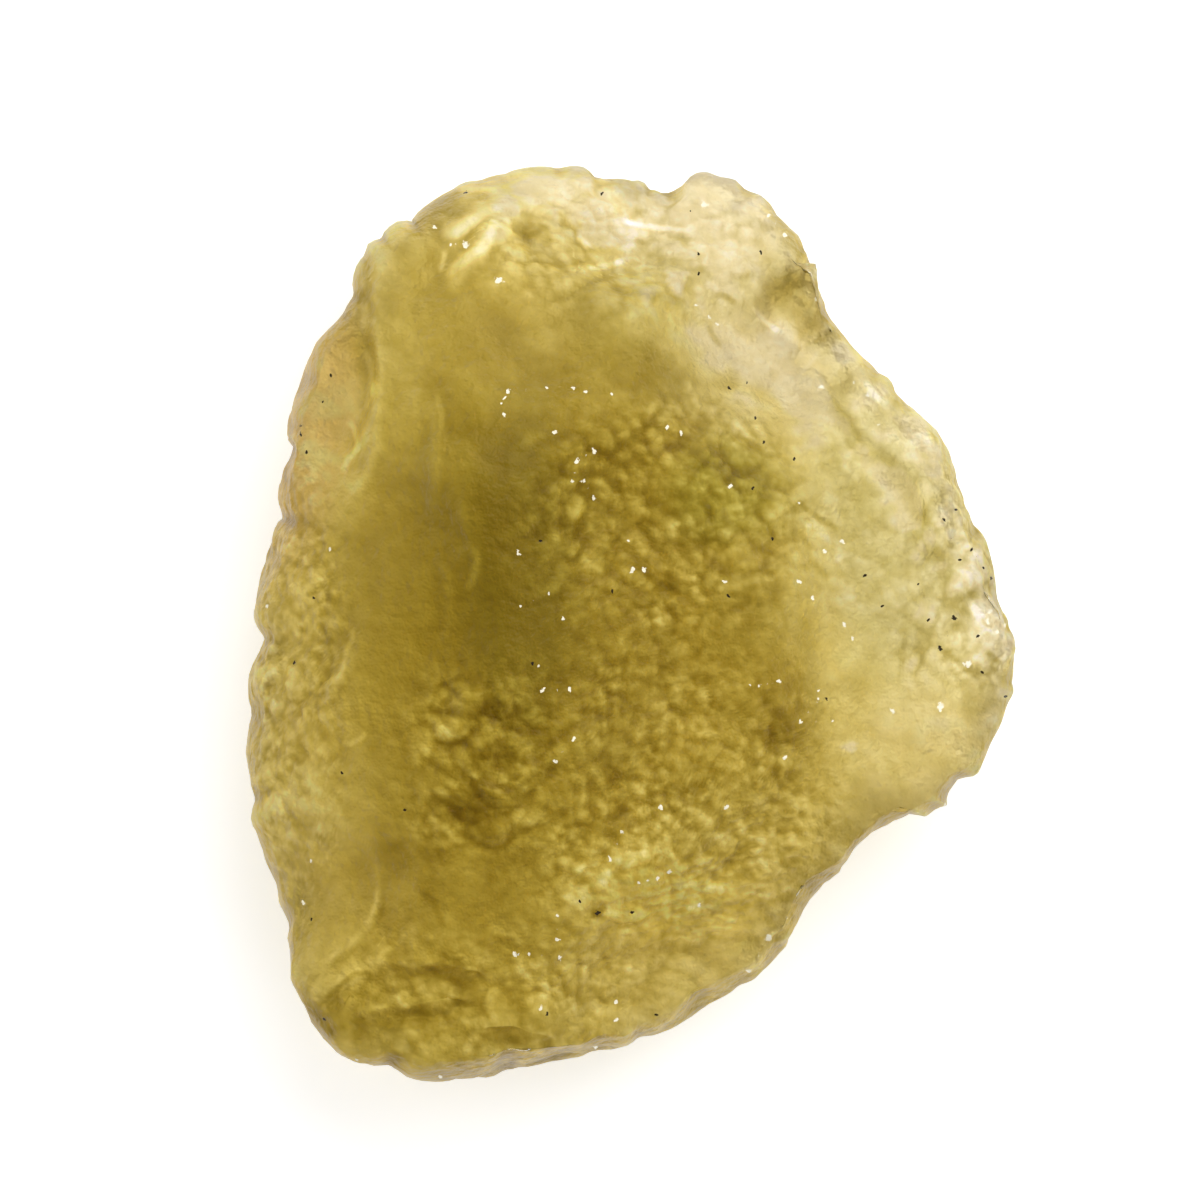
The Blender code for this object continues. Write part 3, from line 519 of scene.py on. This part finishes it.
def lower_height(x, y):
    """Height of the underside before its lumps: a belly in the middle of a raised brim."""
    dx = x - BELLY_MIDDLE[0]
    dy = y - BELLY_MIDDLE[1]
    reach = np.array(BELLY_REACH)
    directions = np.radians(reach[:, 0])
    angle = np.arctan2(dy, dx)
    lowest = closed_curve(directions, reach[:, 1], angle)
    foot = closed_curve(directions, reach[:, 2], angle)
    distance = np.hypot(dx, dy)
    brim = BRIM_HEIGHT + BRIM_TILT[0] * x + BRIM_TILT[1] * y
    bulge = BELLY_BULGE * np.clip(distance / lowest, 0.0, 1.0) ** 2
    return bulge + (brim - bulge) * smooth_step(lowest, foot, distance)


def grid_ball(cells):
    """A unit ball made from a cube's gridded faces, so that its cells are about equal."""
    ball = bmesh.new()
    bmesh.ops.create_cube(ball, size=2.0)
    bmesh.ops.subdivide_edges(ball, edges=ball.edges[:], cuts=cells - 1, use_grid_fill=True)
    for vertex in ball.verts:
        spread = [math.tan(part * math.pi / 4.0) for part in vertex.co]
        vertex.co = Vector(spread).normalized()
    return ball


def swell(points, size, seed):
    """Smooth noise from -1 to 1, one swell about as wide as size."""
    shift = Vector((seed * 7.3, seed * 3.1, seed * 5.7))
    return np.array([noise.noise(Vector(point) / size + shift) for point in points])


def rounded(share):
    """How far a rounded edge has risen: 0 at the rim, 1 where the rounding ends."""
    return np.sqrt(1.0 - (1.0 - np.clip(share, 0.0, 1.0)) ** 2)


def stone_points(ball_points):
    """The points of the smooth stone for the points of a unit ball."""
    flat = np.clip(np.hypot(ball_points[:, 0], ball_points[:, 1]), 0.0, 1.0)
    angle = np.arctan2(ball_points[:, 1], ball_points[:, 0])
    way_x = np.cos(angle)
    way_y = np.sin(angle)
    reach = rim_distance(angle)
    turns = np.linspace(-0.5, 0.5, 9) * SCALLOP_WIDTH / reach.mean()
    plain_reach = np.mean([rim_distance(angle + turn) for turn in turns], axis=0)
    spread = flat**CENTRE_CROWDING
    distance = plain_reach * spread + (reach - plain_reach) * spread**SCALLOP_FADE
    x = MIDDLE[0] + distance * way_x
    y = MIDDLE[1] + distance * way_y

    rim_x = MIDDLE[0] + reach * way_x
    rim_y = MIDDLE[1] + reach * way_y
    rim_low = lower_height(rim_x, rim_y)
    rim_high = np.maximum(upper_height(rim_x, rim_y), rim_low + LEAST_EDGE)
    wander = RIM_WANDER * swell(np.column_stack((rim_x, rim_y, 0.0 * rim_x)), RIM_WAVE, seed=3)
    rim = rim_low + (RIM_PLACE + wander) * (rim_high - rim_low)
    inset = reach * (1.0 - spread)
    least = (1.0 - RIM_PLACE) * LEAST_EDGE
    spare = upper_height(x, y) - rim - least
    above = least + LEAST_EDGE_BLEND * np.logaddexp(0.0, spare / LEAST_EDGE_BLEND)
    upper = rim + rounded(inset / EDGE_ROUNDING) * above
    lower = rim - rounded(inset / UNDERCUT) * (rim - lower_height(x, y))
    height = np.where(ball_points[:, 2] > 0.0, upper, lower)
    return np.column_stack((x, y, height))


def fit_to_outline(points):
    """Draws the skin in or out, so that the stone seen from above ends at its outline."""
    dx = points[:, 0] - MIDDLE[0]
    dy = points[:, 1] - MIDDLE[1]
    angle = np.arctan2(dy, dx)
    share = np.hypot(dx, dy) / rim_distance(angle)
    slots = ((angle / (2.0 * math.pi) + 0.5) * RIM_SLOTS).astype(int) % RIM_SLOTS
    widest = np.zeros(RIM_SLOTS)
    np.maximum.at(widest, slots, share)
    slot_angles = ((np.arange(RIM_SLOTS) + 0.5) / RIM_SLOTS - 0.5) * 2.0 * math.pi
    reached = np.interp(angle, slot_angles, widest, period=2.0 * math.pi)
    factor = 1.0 + (1.0 / reached - 1.0) * np.clip(share, 0.0, 1.0) ** 4
    points[:, 0] = MIDDLE[0] + dx * factor
    points[:, 1] = MIDDLE[1] + dy * factor


def uneven_cells(points, size, seed, mean, height):
    """Noise made of rounded cells that are bent to and fro, some higher than others.

    The height is a function of how far a point is from the middle of its cell, squared.
    """
    shift = Vector((seed * 4.9, seed * 8.3, seed * 2.1))
    values = []
    for point in points:
        place = Vector(point) / size + shift
        place = place + LUMP_BEND * noise.noise_vector(place * BEND_SCALE)
        distances, _ = noise.voronoi(place)
        evenness = EVENNESS + EVENNESS_CHANGE * noise.noise(place * EVENNESS_SCALE)
        values.append(mean + (height(distances[0] ** 2) - mean) * evenness)
    return np.array(values)


def lumps(points, size, seed):
    """Rounded lumps of uneven size: 1 on a lump's top, 0 in the creases around it."""
    return uneven_cells(points, size, seed, LUMP_MEAN, lambda away: max(0.0, 1.0 - away * LUMP_FALL))


def relief(points, upward):
    """How far the skin stands out from the smooth stone, in millimetres."""
    x = points[:, 0]
    y = points[:, 1]
    top = smooth_step(*TOP_TURN, upward)
    height = np.zeros(len(points))
    for seed, (size, amount) in enumerate(SWELLS, start=1):
        height += amount * swell(points, size, seed)
    for seed, (*zone, size, amount) in enumerate(LUMP_ZONES, start=5):
        share = oval(x, y, *zone, 0.0, ZONE_EDGE) * top
        height += amount * share * (lumps(points, size, seed) - LUMP_MEAN)
    size, amount = UNDERSIDE_LUMP
    height += amount * (1.0 - top) * (lumps(points, size, seed=2) - LUMP_MEAN)
    inner, outer, calm = BELLY_CALM
    away = np.hypot(x - BELLY_MIDDLE[0], y - BELLY_MIDDLE[1])
    return height * (1.0 - calm * (1.0 - top) * (1.0 - smooth_step(inner, outer, away)))


def pits(points, size, seed):
    """Rounded cups with thin crests between them: 0 in a cup's middle, 1 on the crests."""
    return uneven_cells(points, size, seed, PIT_MEAN, lambda away: min(1.0, away * PIT_RISE))


def fine_relief(points, upward):
    """Pits, grain and ridgelets that stand on the stone's broad form, in millimetres."""
    x = points[:, 0]
    y = points[:, 1]
    top = smooth_step(*TOP_TURN, upward)
    height = np.zeros(len(points))
    for seed, (size, amount) in enumerate(GRAINS, start=21):
        height += amount * swell(points, size, seed)
    for seed, (*zone, size, depth, _) in enumerate(PIT_ZONES, start=31):
        share = oval(x, y, *zone, 0.0, ZONE_EDGE) * top
        inside = np.nonzero(share > 0.0)[0]
        height[inside] += depth * share[inside] * (pits(points[inside], size, seed) - PIT_MEAN)
    for amount, half_width, *line in RIDGELETS:
        height += flute(x, y, amount, half_width, line) * top
    size, depth, _ = UNDERSIDE_PIT
    inside = np.nonzero(top < 1.0)[0]
    height[inside] += depth * (1.0 - top[inside]) * (pits(points[inside], size, seed=41) - PIT_MEAN)
    return height


def nearest_of(distances):
    """Which mark is nearest to each point, how near it is, and how much farther the next is."""
    nearest, second = np.partition(distances, 1, axis=0)[:2]
    return np.argmin(distances, axis=0), nearest, second - nearest


def marks(points, upward, groups):
    """How far each point lies from its nearest mark, along X and Y, and that mark's radius.

    The radius is 0 where no mark is near, on the underside, and midway between two marks.
    """
    rows = np.array([(*place, radius) for radius, *places in groups for place in places])
    which, nearest, gap = nearest_of(
        [np.hypot(points[:, 0] - mark_x, points[:, 1] - mark_y) for mark_x, mark_y, _ in rows]
    )
    found = np.column_stack((points[:, :2] - rows[which, :2], rows[which, 2]))
    found[(nearest > MARK_REACH) | (gap < MARK_GAP) | (upward < 0.0), 2] = 0.0
    return found


def streaks(points, upward):
    """How far each point lies from its nearest streak, its half width, how much darker it is.

    The distance is above 0 on the streak's right.  The darkness is 0 where none is near.
    """
    lines = [distance_to_line(points[:, 0], points[:, 1], line) for _, _, *line in STREAKS]
    signed, along = np.array(lines).swapaxes(0, 1)
    which, nearest, gap = nearest_of(np.abs(signed))
    here = (which, np.arange(len(points)))
    half_widths, amounts = np.array([streak[:2] for streak in STREAKS])[which].T
    darker = amounts * between_ends(along[here], LEDGE_ENDS) * smooth_step(0.0, MARK_GAP, gap)
    darker *= 1.0 - smooth_step(STREAK_FADE, 1.0, nearest / MARK_REACH)
    return np.column_stack((signed[here], half_widths, darker * smooth_step(*MARKED_TURN, upward)))


def mottling(points, upward):
    """How much mottling and painted knob light and shade the skin gets at each point, from 0 to 1.
    """
    share = np.full(len(points), LEAST_MOTTLED)
    for *zone, _, _, amount in PIT_ZONES:
        inside = oval(points[:, 0], points[:, 1], *zone, 0.0, CLOUD_EDGE)
        share = np.maximum(share, amount * inside)
    share *= 1.0 + MOTTLING_CHANGE * swell(points, MOTTLING_CHANGE_SIZE, seed=51)
    top = smooth_step(*TOP_TURN, upward)
    return share * top + UNDERSIDE_PIT[2] * (1.0 - top)


def smoothed(points, edges, rounds):
    """The points after drawing each towards the mean of its neighbours some times."""
    count = np.bincount(edges.ravel(), minlength=len(points))
    for _ in range(rounds):
        total = np.column_stack([
            np.bincount(edges[:, 0], points[edges[:, 1], axis], len(points))
            + np.bincount(edges[:, 1], points[edges[:, 0], axis], len(points))
            for axis in range(3)
        ])
        points = 0.5 * (points + total / count[:, None])
    return points


def crease_shade(points, normals, edges):
    """Painted light and shade of the relief: above 0 on crests and lumps, below 0 in creases and
    pits.
    """
    shade = np.zeros(len(points))
    for rounds, height, amount in CREASE_SHADES:
        standing_out = ((points - smoothed(points, edges, rounds)) * normals).sum(axis=1)
        shade += amount * np.tanh(standing_out / height)
    return shade


def skin_colour(points, upward, shade):
    """The skin's colour: deeper over thick glass, clouded above, with painted shade in creases and
    light on crests.
    """
    bent = points[:, :2] + CLOUD_BEND * np.column_stack((
        swell(points, CLOUD_BEND_SIZE, seed=61), swell(points, CLOUD_BEND_SIZE, seed=62),
    ))
    x = bent[:, 0]
    y = bent[:, 1]
    thickness = upper_height(points[:, 0], points[:, 1]) - lower_height(points[:, 0], points[:, 1])
    thickness = np.clip(thickness - CLEAR_THICKNESS, 0.0, None)[:, None]
    depth = np.array(SKIN_DEPTH) + thickness * np.array(SKIN_DEPTH_PER_MM)
    steep = 1.0 - smooth_step(*STEEP_TURN, np.abs(upward))
    depth += steep[:, None] * np.array(STEEP_DEPTH)
    resting = (upward < 0.0) * (1.0 - smooth_step(*RESTING_HEIGHTS, points[:, 2]))
    depth += resting[:, None] * np.array(RESTING_DEPTH)
    darker = np.zeros(len(points))
    for centre_x, centre_y, half_x, half_y, amount, *turned in CLOUDS:
        darker += amount * oval(x, y, centre_x, centre_y, half_x, half_y, sum(turned), CLOUD_EDGE)
    for *stain, amounts in STAINS:
        depth += oval(x, y, *stain, CLOUD_EDGE)[:, None] * np.array(amounts)
    # shade is painted light and shade: it makes the creases darker and the crests lighter
    darker = TOP_SKIN * darker * smooth_step(*MARKED_TURN, upward) - shade
    depth += darker[:, None] * np.array(SHADE_BY_COLOUR)
    return np.minimum(np.exp(-depth), LIGHTEST_SKIN)


def fine_stone():
    """The stone's fine mesh in metres, with its colour and marks as attributes."""
    noise.seed_set(BEND_SEED)
    ball = grid_ball(CELLS)
    ball_points = np.array([vertex.co for vertex in ball.verts])
    polar = np.degrees(np.arccos(np.clip(ball_points[:, 2], -1.0, 1.0)))
    lower_side = 90.0 + (polar - TOP_SHARE) * 90.0 / (180.0 - TOP_SHARE)
    moved = np.radians(np.where(polar < TOP_SHARE, polar * 90.0 / TOP_SHARE, lower_side))
    around = np.arctan2(ball_points[:, 1], ball_points[:, 0])
    level = np.sin(moved)
    spread = np.column_stack((level * np.cos(around), level * np.sin(around), np.cos(moved)))
    points = stone_points(spread)
    for layer in (relief, fine_relief):
        for vertex, point in zip(ball.verts, points):
            vertex.co = point
        ball.normal_update()
        normals = np.array([vertex.normal for vertex in ball.verts])
        points = points + normals * layer(points, normals[:, 2])[:, None]
        fit_to_outline(points)
    edges = np.array([[vertex.index for vertex in edge.verts] for edge in ball.edges])
    shade = crease_shade(points, normals, edges)
    upward = normals[:, 2]
    mottled_and_knob_shaded = mottling(points, upward)
    points[:, 2] = np.maximum(points[:, 2], FLAT_DEPTH) - FLAT_DEPTH
    for vertex, point in zip(ball.verts, points):
        vertex.co = point * MILLIMETRE
    mesh = bpy.data.meshes.new("stone")
    ball.to_mesh(mesh)
    ball.free()
    tints = np.column_stack((skin_colour(points, upward, shade), np.ones(len(points))))
    for name, kind, part, values in (
        ("dirt", "FLOAT_VECTOR", "vector", marks(points, upward, SPECKS)),
        ("chips_and_glints", "FLOAT_VECTOR", "vector", marks(points, upward, CHIPS_AND_GLINTS)),
        ("streak", "FLOAT_VECTOR", "vector", streaks(points, upward)),
        ("mottled_and_knob_shaded", "FLOAT", "value", mottled_and_knob_shaded),
        ("tint", "FLOAT_COLOR", "color", tints),
    ):
        mesh.attributes.new(name, kind, "POINT").data.foreach_set(part, values.ravel())
    return mesh


# The glass: what it absorbs of red, green and blue light per metre, and its skin
ABSORPTION = (20.0, 23.6, 58.0)
DENSITY_MARGIN = 1.02  # keeps the blue part of the absorption colour above 0
ROUGHNESS = 0.30
REFRACTIVE_INDEX = 1.46
TRANSMISSION = 0.62
BUMP = 0.22
# How the skin's mottling goes, with painted light on the knobs' tops and painted shade in their
# creases
# and on their sides away from the light: cloudlets and knobs per metre, and how much they shade it
CLOUDLETS = 650.0
KNOBS = 700.0
CLOUDLET_SHADE = 0.85
KNOB_SHADE = 0.55
KNOB_MIDDLE = -0.16  # the height at which a knob's side leaves the colour as it is
KNOB_SIDE_SHADE = 1.1  # how much darker a knob's side away from the light is
KNOB_SIDE = (0.14, 0.22, 0.0)  # a step towards the light, in millimetres
KNOB_LACUNARITY = 2.3  # how much smaller the knobs on the knobs are
NOISE_ROUGHNESS = 0.6  # how strong the finer parts of all noise are
KNOB_BEND = 0.8  # how far the knobs are bent out of even cells, in millimetres
STREAK_WANDER = 0.16  # how far a streak wanders from its line, in millimetres
SKIN_GRAIN = 1900.0  # grains per metre of the bump
MARK_RAGGEDNESS = 8000.0  # notches per metre in the edges of dirt and chips
DIRT_RAGGED = 1.6  # how deep those notches are
CHIP_AND_GLINT_RAGGED = 2.6
MARK_TURNS = 300.0  # how often the way that marks point changes, per metre
MARK_TURN = 20.0  # and by how much, in radians
MARK_EDGE = (0.85, 1.15)  # the shares of a mark's radius between which it ends
STREAK_EDGE = (0.2, 1.6)  # the same for the half width of a streak
LEAST_RADIUS = 0.0001  # these two keep the size of a mark that isn't there above 0
LEAST_HALF_WIDTH = 0.01
MARK_LENGTH = 1.7  # how much longer a mark is than it is wide
MARK_TRANSMISSION = 0.05
CHIP_AND_GLINT_COLOUR = (1.0, 0.94, 0.74, 1.0)
DIRT_COLOUR = (0.03, 0.022, 0.012, 1.0)

# The picture
PICTURE_MIDDLE = (-1.5, 1.0)
CAMERA_HEIGHT = 380.0  # above the height of the rim
FOCUS_HEIGHT = 5.0  # the height of the rim
FIELD = 60.0  # width of the picture at that height
FLOOR_REACH = 1000.0
FLOOR_GAP = 0.02  # between the floor and the stone
FLOOR_COLOUR = (0.9, 0.9, 0.9, 1.0)
FLOOR_ROUGHNESS = 0.7
FLOOR_GLOSS = 0.2
SENSOR_WIDTH = 36.0
WHITE = (1.0, 1.0, 1.0, 1.0)
WORLD_STRENGTH = 0.50
FLOOR_GLOW = 0.44
SPECULAR = 0.15

# Lights: name, place in metres, size in metres, power in watts
LIGHTS = (
    ("key", (0.24, 0.38, 0.44), 0.6, 3.0),
    ("front", (0.50, -0.25, 0.45), 0.5, 0.4),
    ("fill", (-0.60, 0.10, 0.35), 0.5, 0.7),
)


def set_inputs(node, inputs):
    """Gives each of these inputs of a node its value, or a link from another node."""
    for name, source in inputs.items():
        if isinstance(source, bpy.types.NodeSocket):
            node.id_data.links.new(source, node.inputs[name])
        else:
            node.inputs[name].default_value = source


def attribute_node(tree, name):
    node = tree.nodes.new("ShaderNodeAttribute")
    node.attribute_name = name
    return node


def split_node(tree, vector):
    node = tree.nodes.new("ShaderNodeSeparateXYZ")
    set_inputs(node, {"Vector": vector})
    return tuple(node.outputs)


def step_node(tree, source, low, high, start, end):
    """Turns a value from start to end between low and high."""
    node = tree.nodes.new("ShaderNodeMapRange")
    node.interpolation_type = "SMOOTHSTEP"
    set_inputs(node, {
        "Value": source, "From Min": low, "From Max": high, "To Min": start, "To Max": end,
    })
    return node.outputs["Result"]


def mix_node(tree, share, first, second, blend="MIX"):
    node = tree.nodes.new("ShaderNodeMix")
    node.data_type = "RGBA"
    node.blend_type = blend
    place = [socket.type for socket in node.inputs].index("RGBA")
    set_inputs(node, {"Factor": share, place: first, place + 1: second})
    return next(socket for socket in node.outputs if socket.type == "RGBA")


def noise_node(tree, place, scale, detail):
    node = tree.nodes.new("ShaderNodeTexNoise")
    set_inputs(node, {
        "Vector": place, "Scale": scale, "Detail": detail, "Roughness": NOISE_ROUGHNESS,
    })
    return node


def math_node(tree, operation, *values):
    node = tree.nodes.new("ShaderNodeMath")
    node.operation = operation
    set_inputs(node, dict(enumerate(values)))
    return node.outputs["Value"]


def mark_node(tree, name, turn, ragged, amount):
    """1 inside the mesh's marks of this name, whose edges are as ragged as the amount says."""
    turned = tree.nodes.new("ShaderNodeVectorRotate")
    turned.rotation_type = "Z_AXIS"
    offset = attribute_node(tree, name).outputs["Vector"]
    set_inputs(turned, {"Vector": offset, "Angle": turn})
    across, along, radius = split_node(tree, turned.outputs["Vector"])
    across = math_node(tree, "POWER", math_node(tree, "MULTIPLY", across, MARK_LENGTH), 2.0)
    along = math_node(tree, "POWER", along, 2.0)
    distance = math_node(tree, "SQRT", math_node(tree, "ADD", across, along))
    share = math_node(tree, "DIVIDE", distance, math_node(tree, "MAXIMUM", radius, LEAST_RADIUS))
    shift = math_node(tree, "MULTIPLY", math_node(tree, "SUBTRACT", ragged, 0.5), amount)
    return step_node(tree, math_node(tree, "ADD", share, shift), *MARK_EDGE, 1.0, 0.0)


def streak_node(tree, uneven):
    """How much darker the nearest streak makes the skin."""
    streak = attribute_node(tree, "streak").outputs["Vector"]
    signed, half_width, darker = split_node(tree, streak)
    wander = math_node(tree, "SUBTRACT", uneven, 0.5)
    wander = math_node(tree, "MULTIPLY", wander, 2.0 * STREAK_WANDER)
    distance = math_node(tree, "ABSOLUTE", math_node(tree, "ADD", signed, wander))
    half_width = math_node(tree, "MAXIMUM", half_width, LEAST_HALF_WIDTH)
    share = math_node(tree, "DIVIDE", distance, half_width)
    return math_node(tree, "MULTIPLY", step_node(tree, share, *STREAK_EDGE, 1.0, 0.0), darker)


def knob_node(tree, place):
    """The height of the skin's small knobs: 1 on a knob's top, below 0 in the creases around it."""
    cells = tree.nodes.new("ShaderNodeTexVoronoi")
    set_inputs(cells, {
        "Vector": place, "Scale": KNOBS, "Detail": 1.0,
        "Roughness": NOISE_ROUGHNESS, "Lacunarity": KNOB_LACUNARITY,
    })
    return math_node(tree, "SUBTRACT", 1.0, cells.outputs["Distance"])


def mottling_and_knob_shade_node(tree, place, cloudlets):
    """How much darker the cloudlets' mottling and the knobs' painted light and shade make the skin,
    below 0 where lighter.
    """
    bent = tree.nodes.new("ShaderNodeVectorMath")
    bent.operation = "MULTIPLY_ADD"
    bend = (KNOB_BEND * MILLIMETRE,) * 3
    set_inputs(bent, {0: cloudlets.outputs["Color"], 1: bend, 2: place})
    beside = tree.nodes.new("ShaderNodeVectorMath")
    step = [value * MILLIMETRE for value in KNOB_SIDE]
    set_inputs(beside, {0: bent.outputs["Vector"], 1: step})
    here = knob_node(tree, bent.outputs["Vector"])
    rise = math_node(tree, "SUBTRACT", knob_node(tree, beside.outputs["Vector"]), here)
    depth = math_node(tree, "SUBTRACT", KNOB_MIDDLE, here)
    cloud = math_node(tree, "SUBTRACT", cloudlets.outputs["Fac"], 0.5)
    total = 0.0
    for value, amount in ((depth, KNOB_SHADE), (cloud, CLOUDLET_SHADE), (rise, KNOB_SIDE_SHADE)):
        total = math_node(tree, "MULTIPLY_ADD", value, amount, total)
    return math_node(tree, "MULTIPLY", total, attribute_node(tree, "mottled_and_knob_shaded").outputs["Fac"])


def shaded_node(tree, colour, darker):
    """The colour made deeper by a darkness, and most of all in blue."""
    parts = tree.nodes.new("ShaderNodeCombineColor")
    for share, socket in zip(SHADE_BY_COLOUR, parts.inputs):
        exponent = math_node(tree, "MULTIPLY", darker, -share)
        tree.links.new(math_node(tree, "EXPONENT", exponent), socket)
    return mix_node(tree, 1.0, colour, parts.outputs["Color"], "MULTIPLY")


def glass_material():
    """Clouded yellow glass: rough clear skin over a body that absorbs blue most."""
    material = bpy.data.materials.new("desert glass")
    material.use_nodes = True
    tree = material.node_tree
    place = tree.nodes.new("ShaderNodeTexCoord").outputs["Object"]

    cloudlets = noise_node(tree, place, CLOUDLETS, 3.0)
    streaked = math_node(tree, "MULTIPLY", streak_node(tree, cloudlets.outputs["Fac"]), TOP_SKIN)
    # darker holds the streaks' tone and painted highlights and shade, the cloudlets' mottling, and
    # the knobs' painted light and shade
    darker = math_node(tree, "ADD", streaked, mottling_and_knob_shade_node(tree, place, cloudlets))
    colour = shaded_node(tree, attribute_node(tree, "tint").outputs["Color"], darker)
    ragged = noise_node(tree, place, MARK_RAGGEDNESS, 1.0).outputs["Fac"]
    turn = noise_node(tree, place, MARK_TURNS, 0.0).outputs["Fac"]
    turn = math_node(tree, "MULTIPLY", turn, MARK_TURN)
    dirty = mark_node(tree, "dirt", turn, ragged, DIRT_RAGGED)
    chip_and_glint_share = mark_node(tree, "chips_and_glints", turn, ragged, CHIP_AND_GLINT_RAGGED)
    # the bright chip marks, partly crushed glass and partly painted glints, are mixed in near white
    colour = mix_node(tree, chip_and_glint_share, colour, CHIP_AND_GLINT_COLOUR)
    marked = math_node(tree, "MAXIMUM", dirty, chip_and_glint_share)
    bump = tree.nodes.new("ShaderNodeBump")
    set_inputs(bump, {
        "Strength": 1.0,
        "Distance": BUMP * MILLIMETRE,
        "Height": noise_node(tree, place, SKIN_GRAIN, 2.0).outputs["Fac"],
    })
    set_inputs(tree.nodes["Principled BSDF"], {
        "Base Color": mix_node(tree, dirty, colour, DIRT_COLOUR),
        "Transmission Weight": step_node(tree, marked, 0.0, 1.0, TRANSMISSION, MARK_TRANSMISSION),
        "Roughness": ROUGHNESS,
        "IOR": REFRACTIVE_INDEX,
        "Specular Tint": (SPECULAR, SPECULAR, SPECULAR, 1.0),
        "Normal": bump.outputs["Normal"],
    })

    density = max(ABSORPTION) * DENSITY_MARGIN
    body = tree.nodes.new("ShaderNodeVolumeAbsorption")
    body_colour = (*(1.0 - part / density for part in ABSORPTION), 1.0)
    set_inputs(body, {"Density": density, "Color": body_colour})
    set_inputs(tree.nodes["Material Output"], {"Volume": body.outputs["Volume"]})
    return material


def floor_material():
    material = bpy.data.materials.new("white surface")
    material.use_nodes = True
    set_inputs(material.node_tree.nodes["Principled BSDF"], {
        "Base Color": FLOOR_COLOUR,
        "Roughness": FLOOR_ROUGHNESS,
        "Specular IOR Level": FLOOR_GLOSS,
        "Emission Color": WHITE,
        "Emission Strength": FLOOR_GLOW,
    })
    return material


def place_object(name, data):
    made = bpy.data.objects.new(name, data)
    bpy.context.scene.collection.objects.link(made)
    return made


def area_light(name, location, size, power):
    light = bpy.data.lights.new(name, "AREA")
    light.energy = power
    light.size = size
    made = place_object(name, light)
    made.location = location
    towards = Vector((0.0, 0.0, FOCUS_HEIGHT * MILLIMETRE)) - Vector(location)
    made.rotation_euler = towards.to_track_quat("-Z", "Y").to_euler()


stone = place_object("stone", fine_stone())
stone.data.materials.append(glass_material())
stone.data.shade_smooth()
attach(stone, "root")
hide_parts("libyan_desert_glass")

floor_mesh = bpy.data.meshes.new("surface")
reach = FLOOR_REACH * MILLIMETRE
under = -FLOOR_GAP * MILLIMETRE
floor_mesh.from_pydata(
    [(-reach, -reach, under), (reach, -reach, under), (reach, reach, under), (-reach, reach, under)],
    [],
    [(0, 1, 2, 3)],
)
floor = place_object("surface", floor_mesh)
floor.data.materials.append(floor_material())

for name, location, size, power in LIGHTS:
    area_light(name, location, size, power)

world = bpy.data.worlds.new("studio")
world.use_nodes = True
background = world.node_tree.nodes["Background"]
set_inputs(background, {"Color": WHITE, "Strength": WORLD_STRENGTH})
scene = bpy.context.scene
scene.world = world
scene.view_settings.view_transform = "Standard"

camera_data = bpy.data.cameras.new("camera")
camera_data.sensor_width = SENSOR_WIDTH
camera_data.lens = SENSOR_WIDTH * CAMERA_HEIGHT / FIELD
camera_data.clip_start = 0.01
camera = place_object("camera", camera_data)
eye_x, eye_y = (value * MILLIMETRE for value in PICTURE_MIDDLE)
camera.location = (eye_x, eye_y, (CAMERA_HEIGHT + FOCUS_HEIGHT) * MILLIMETRE)
scene.camera = camera
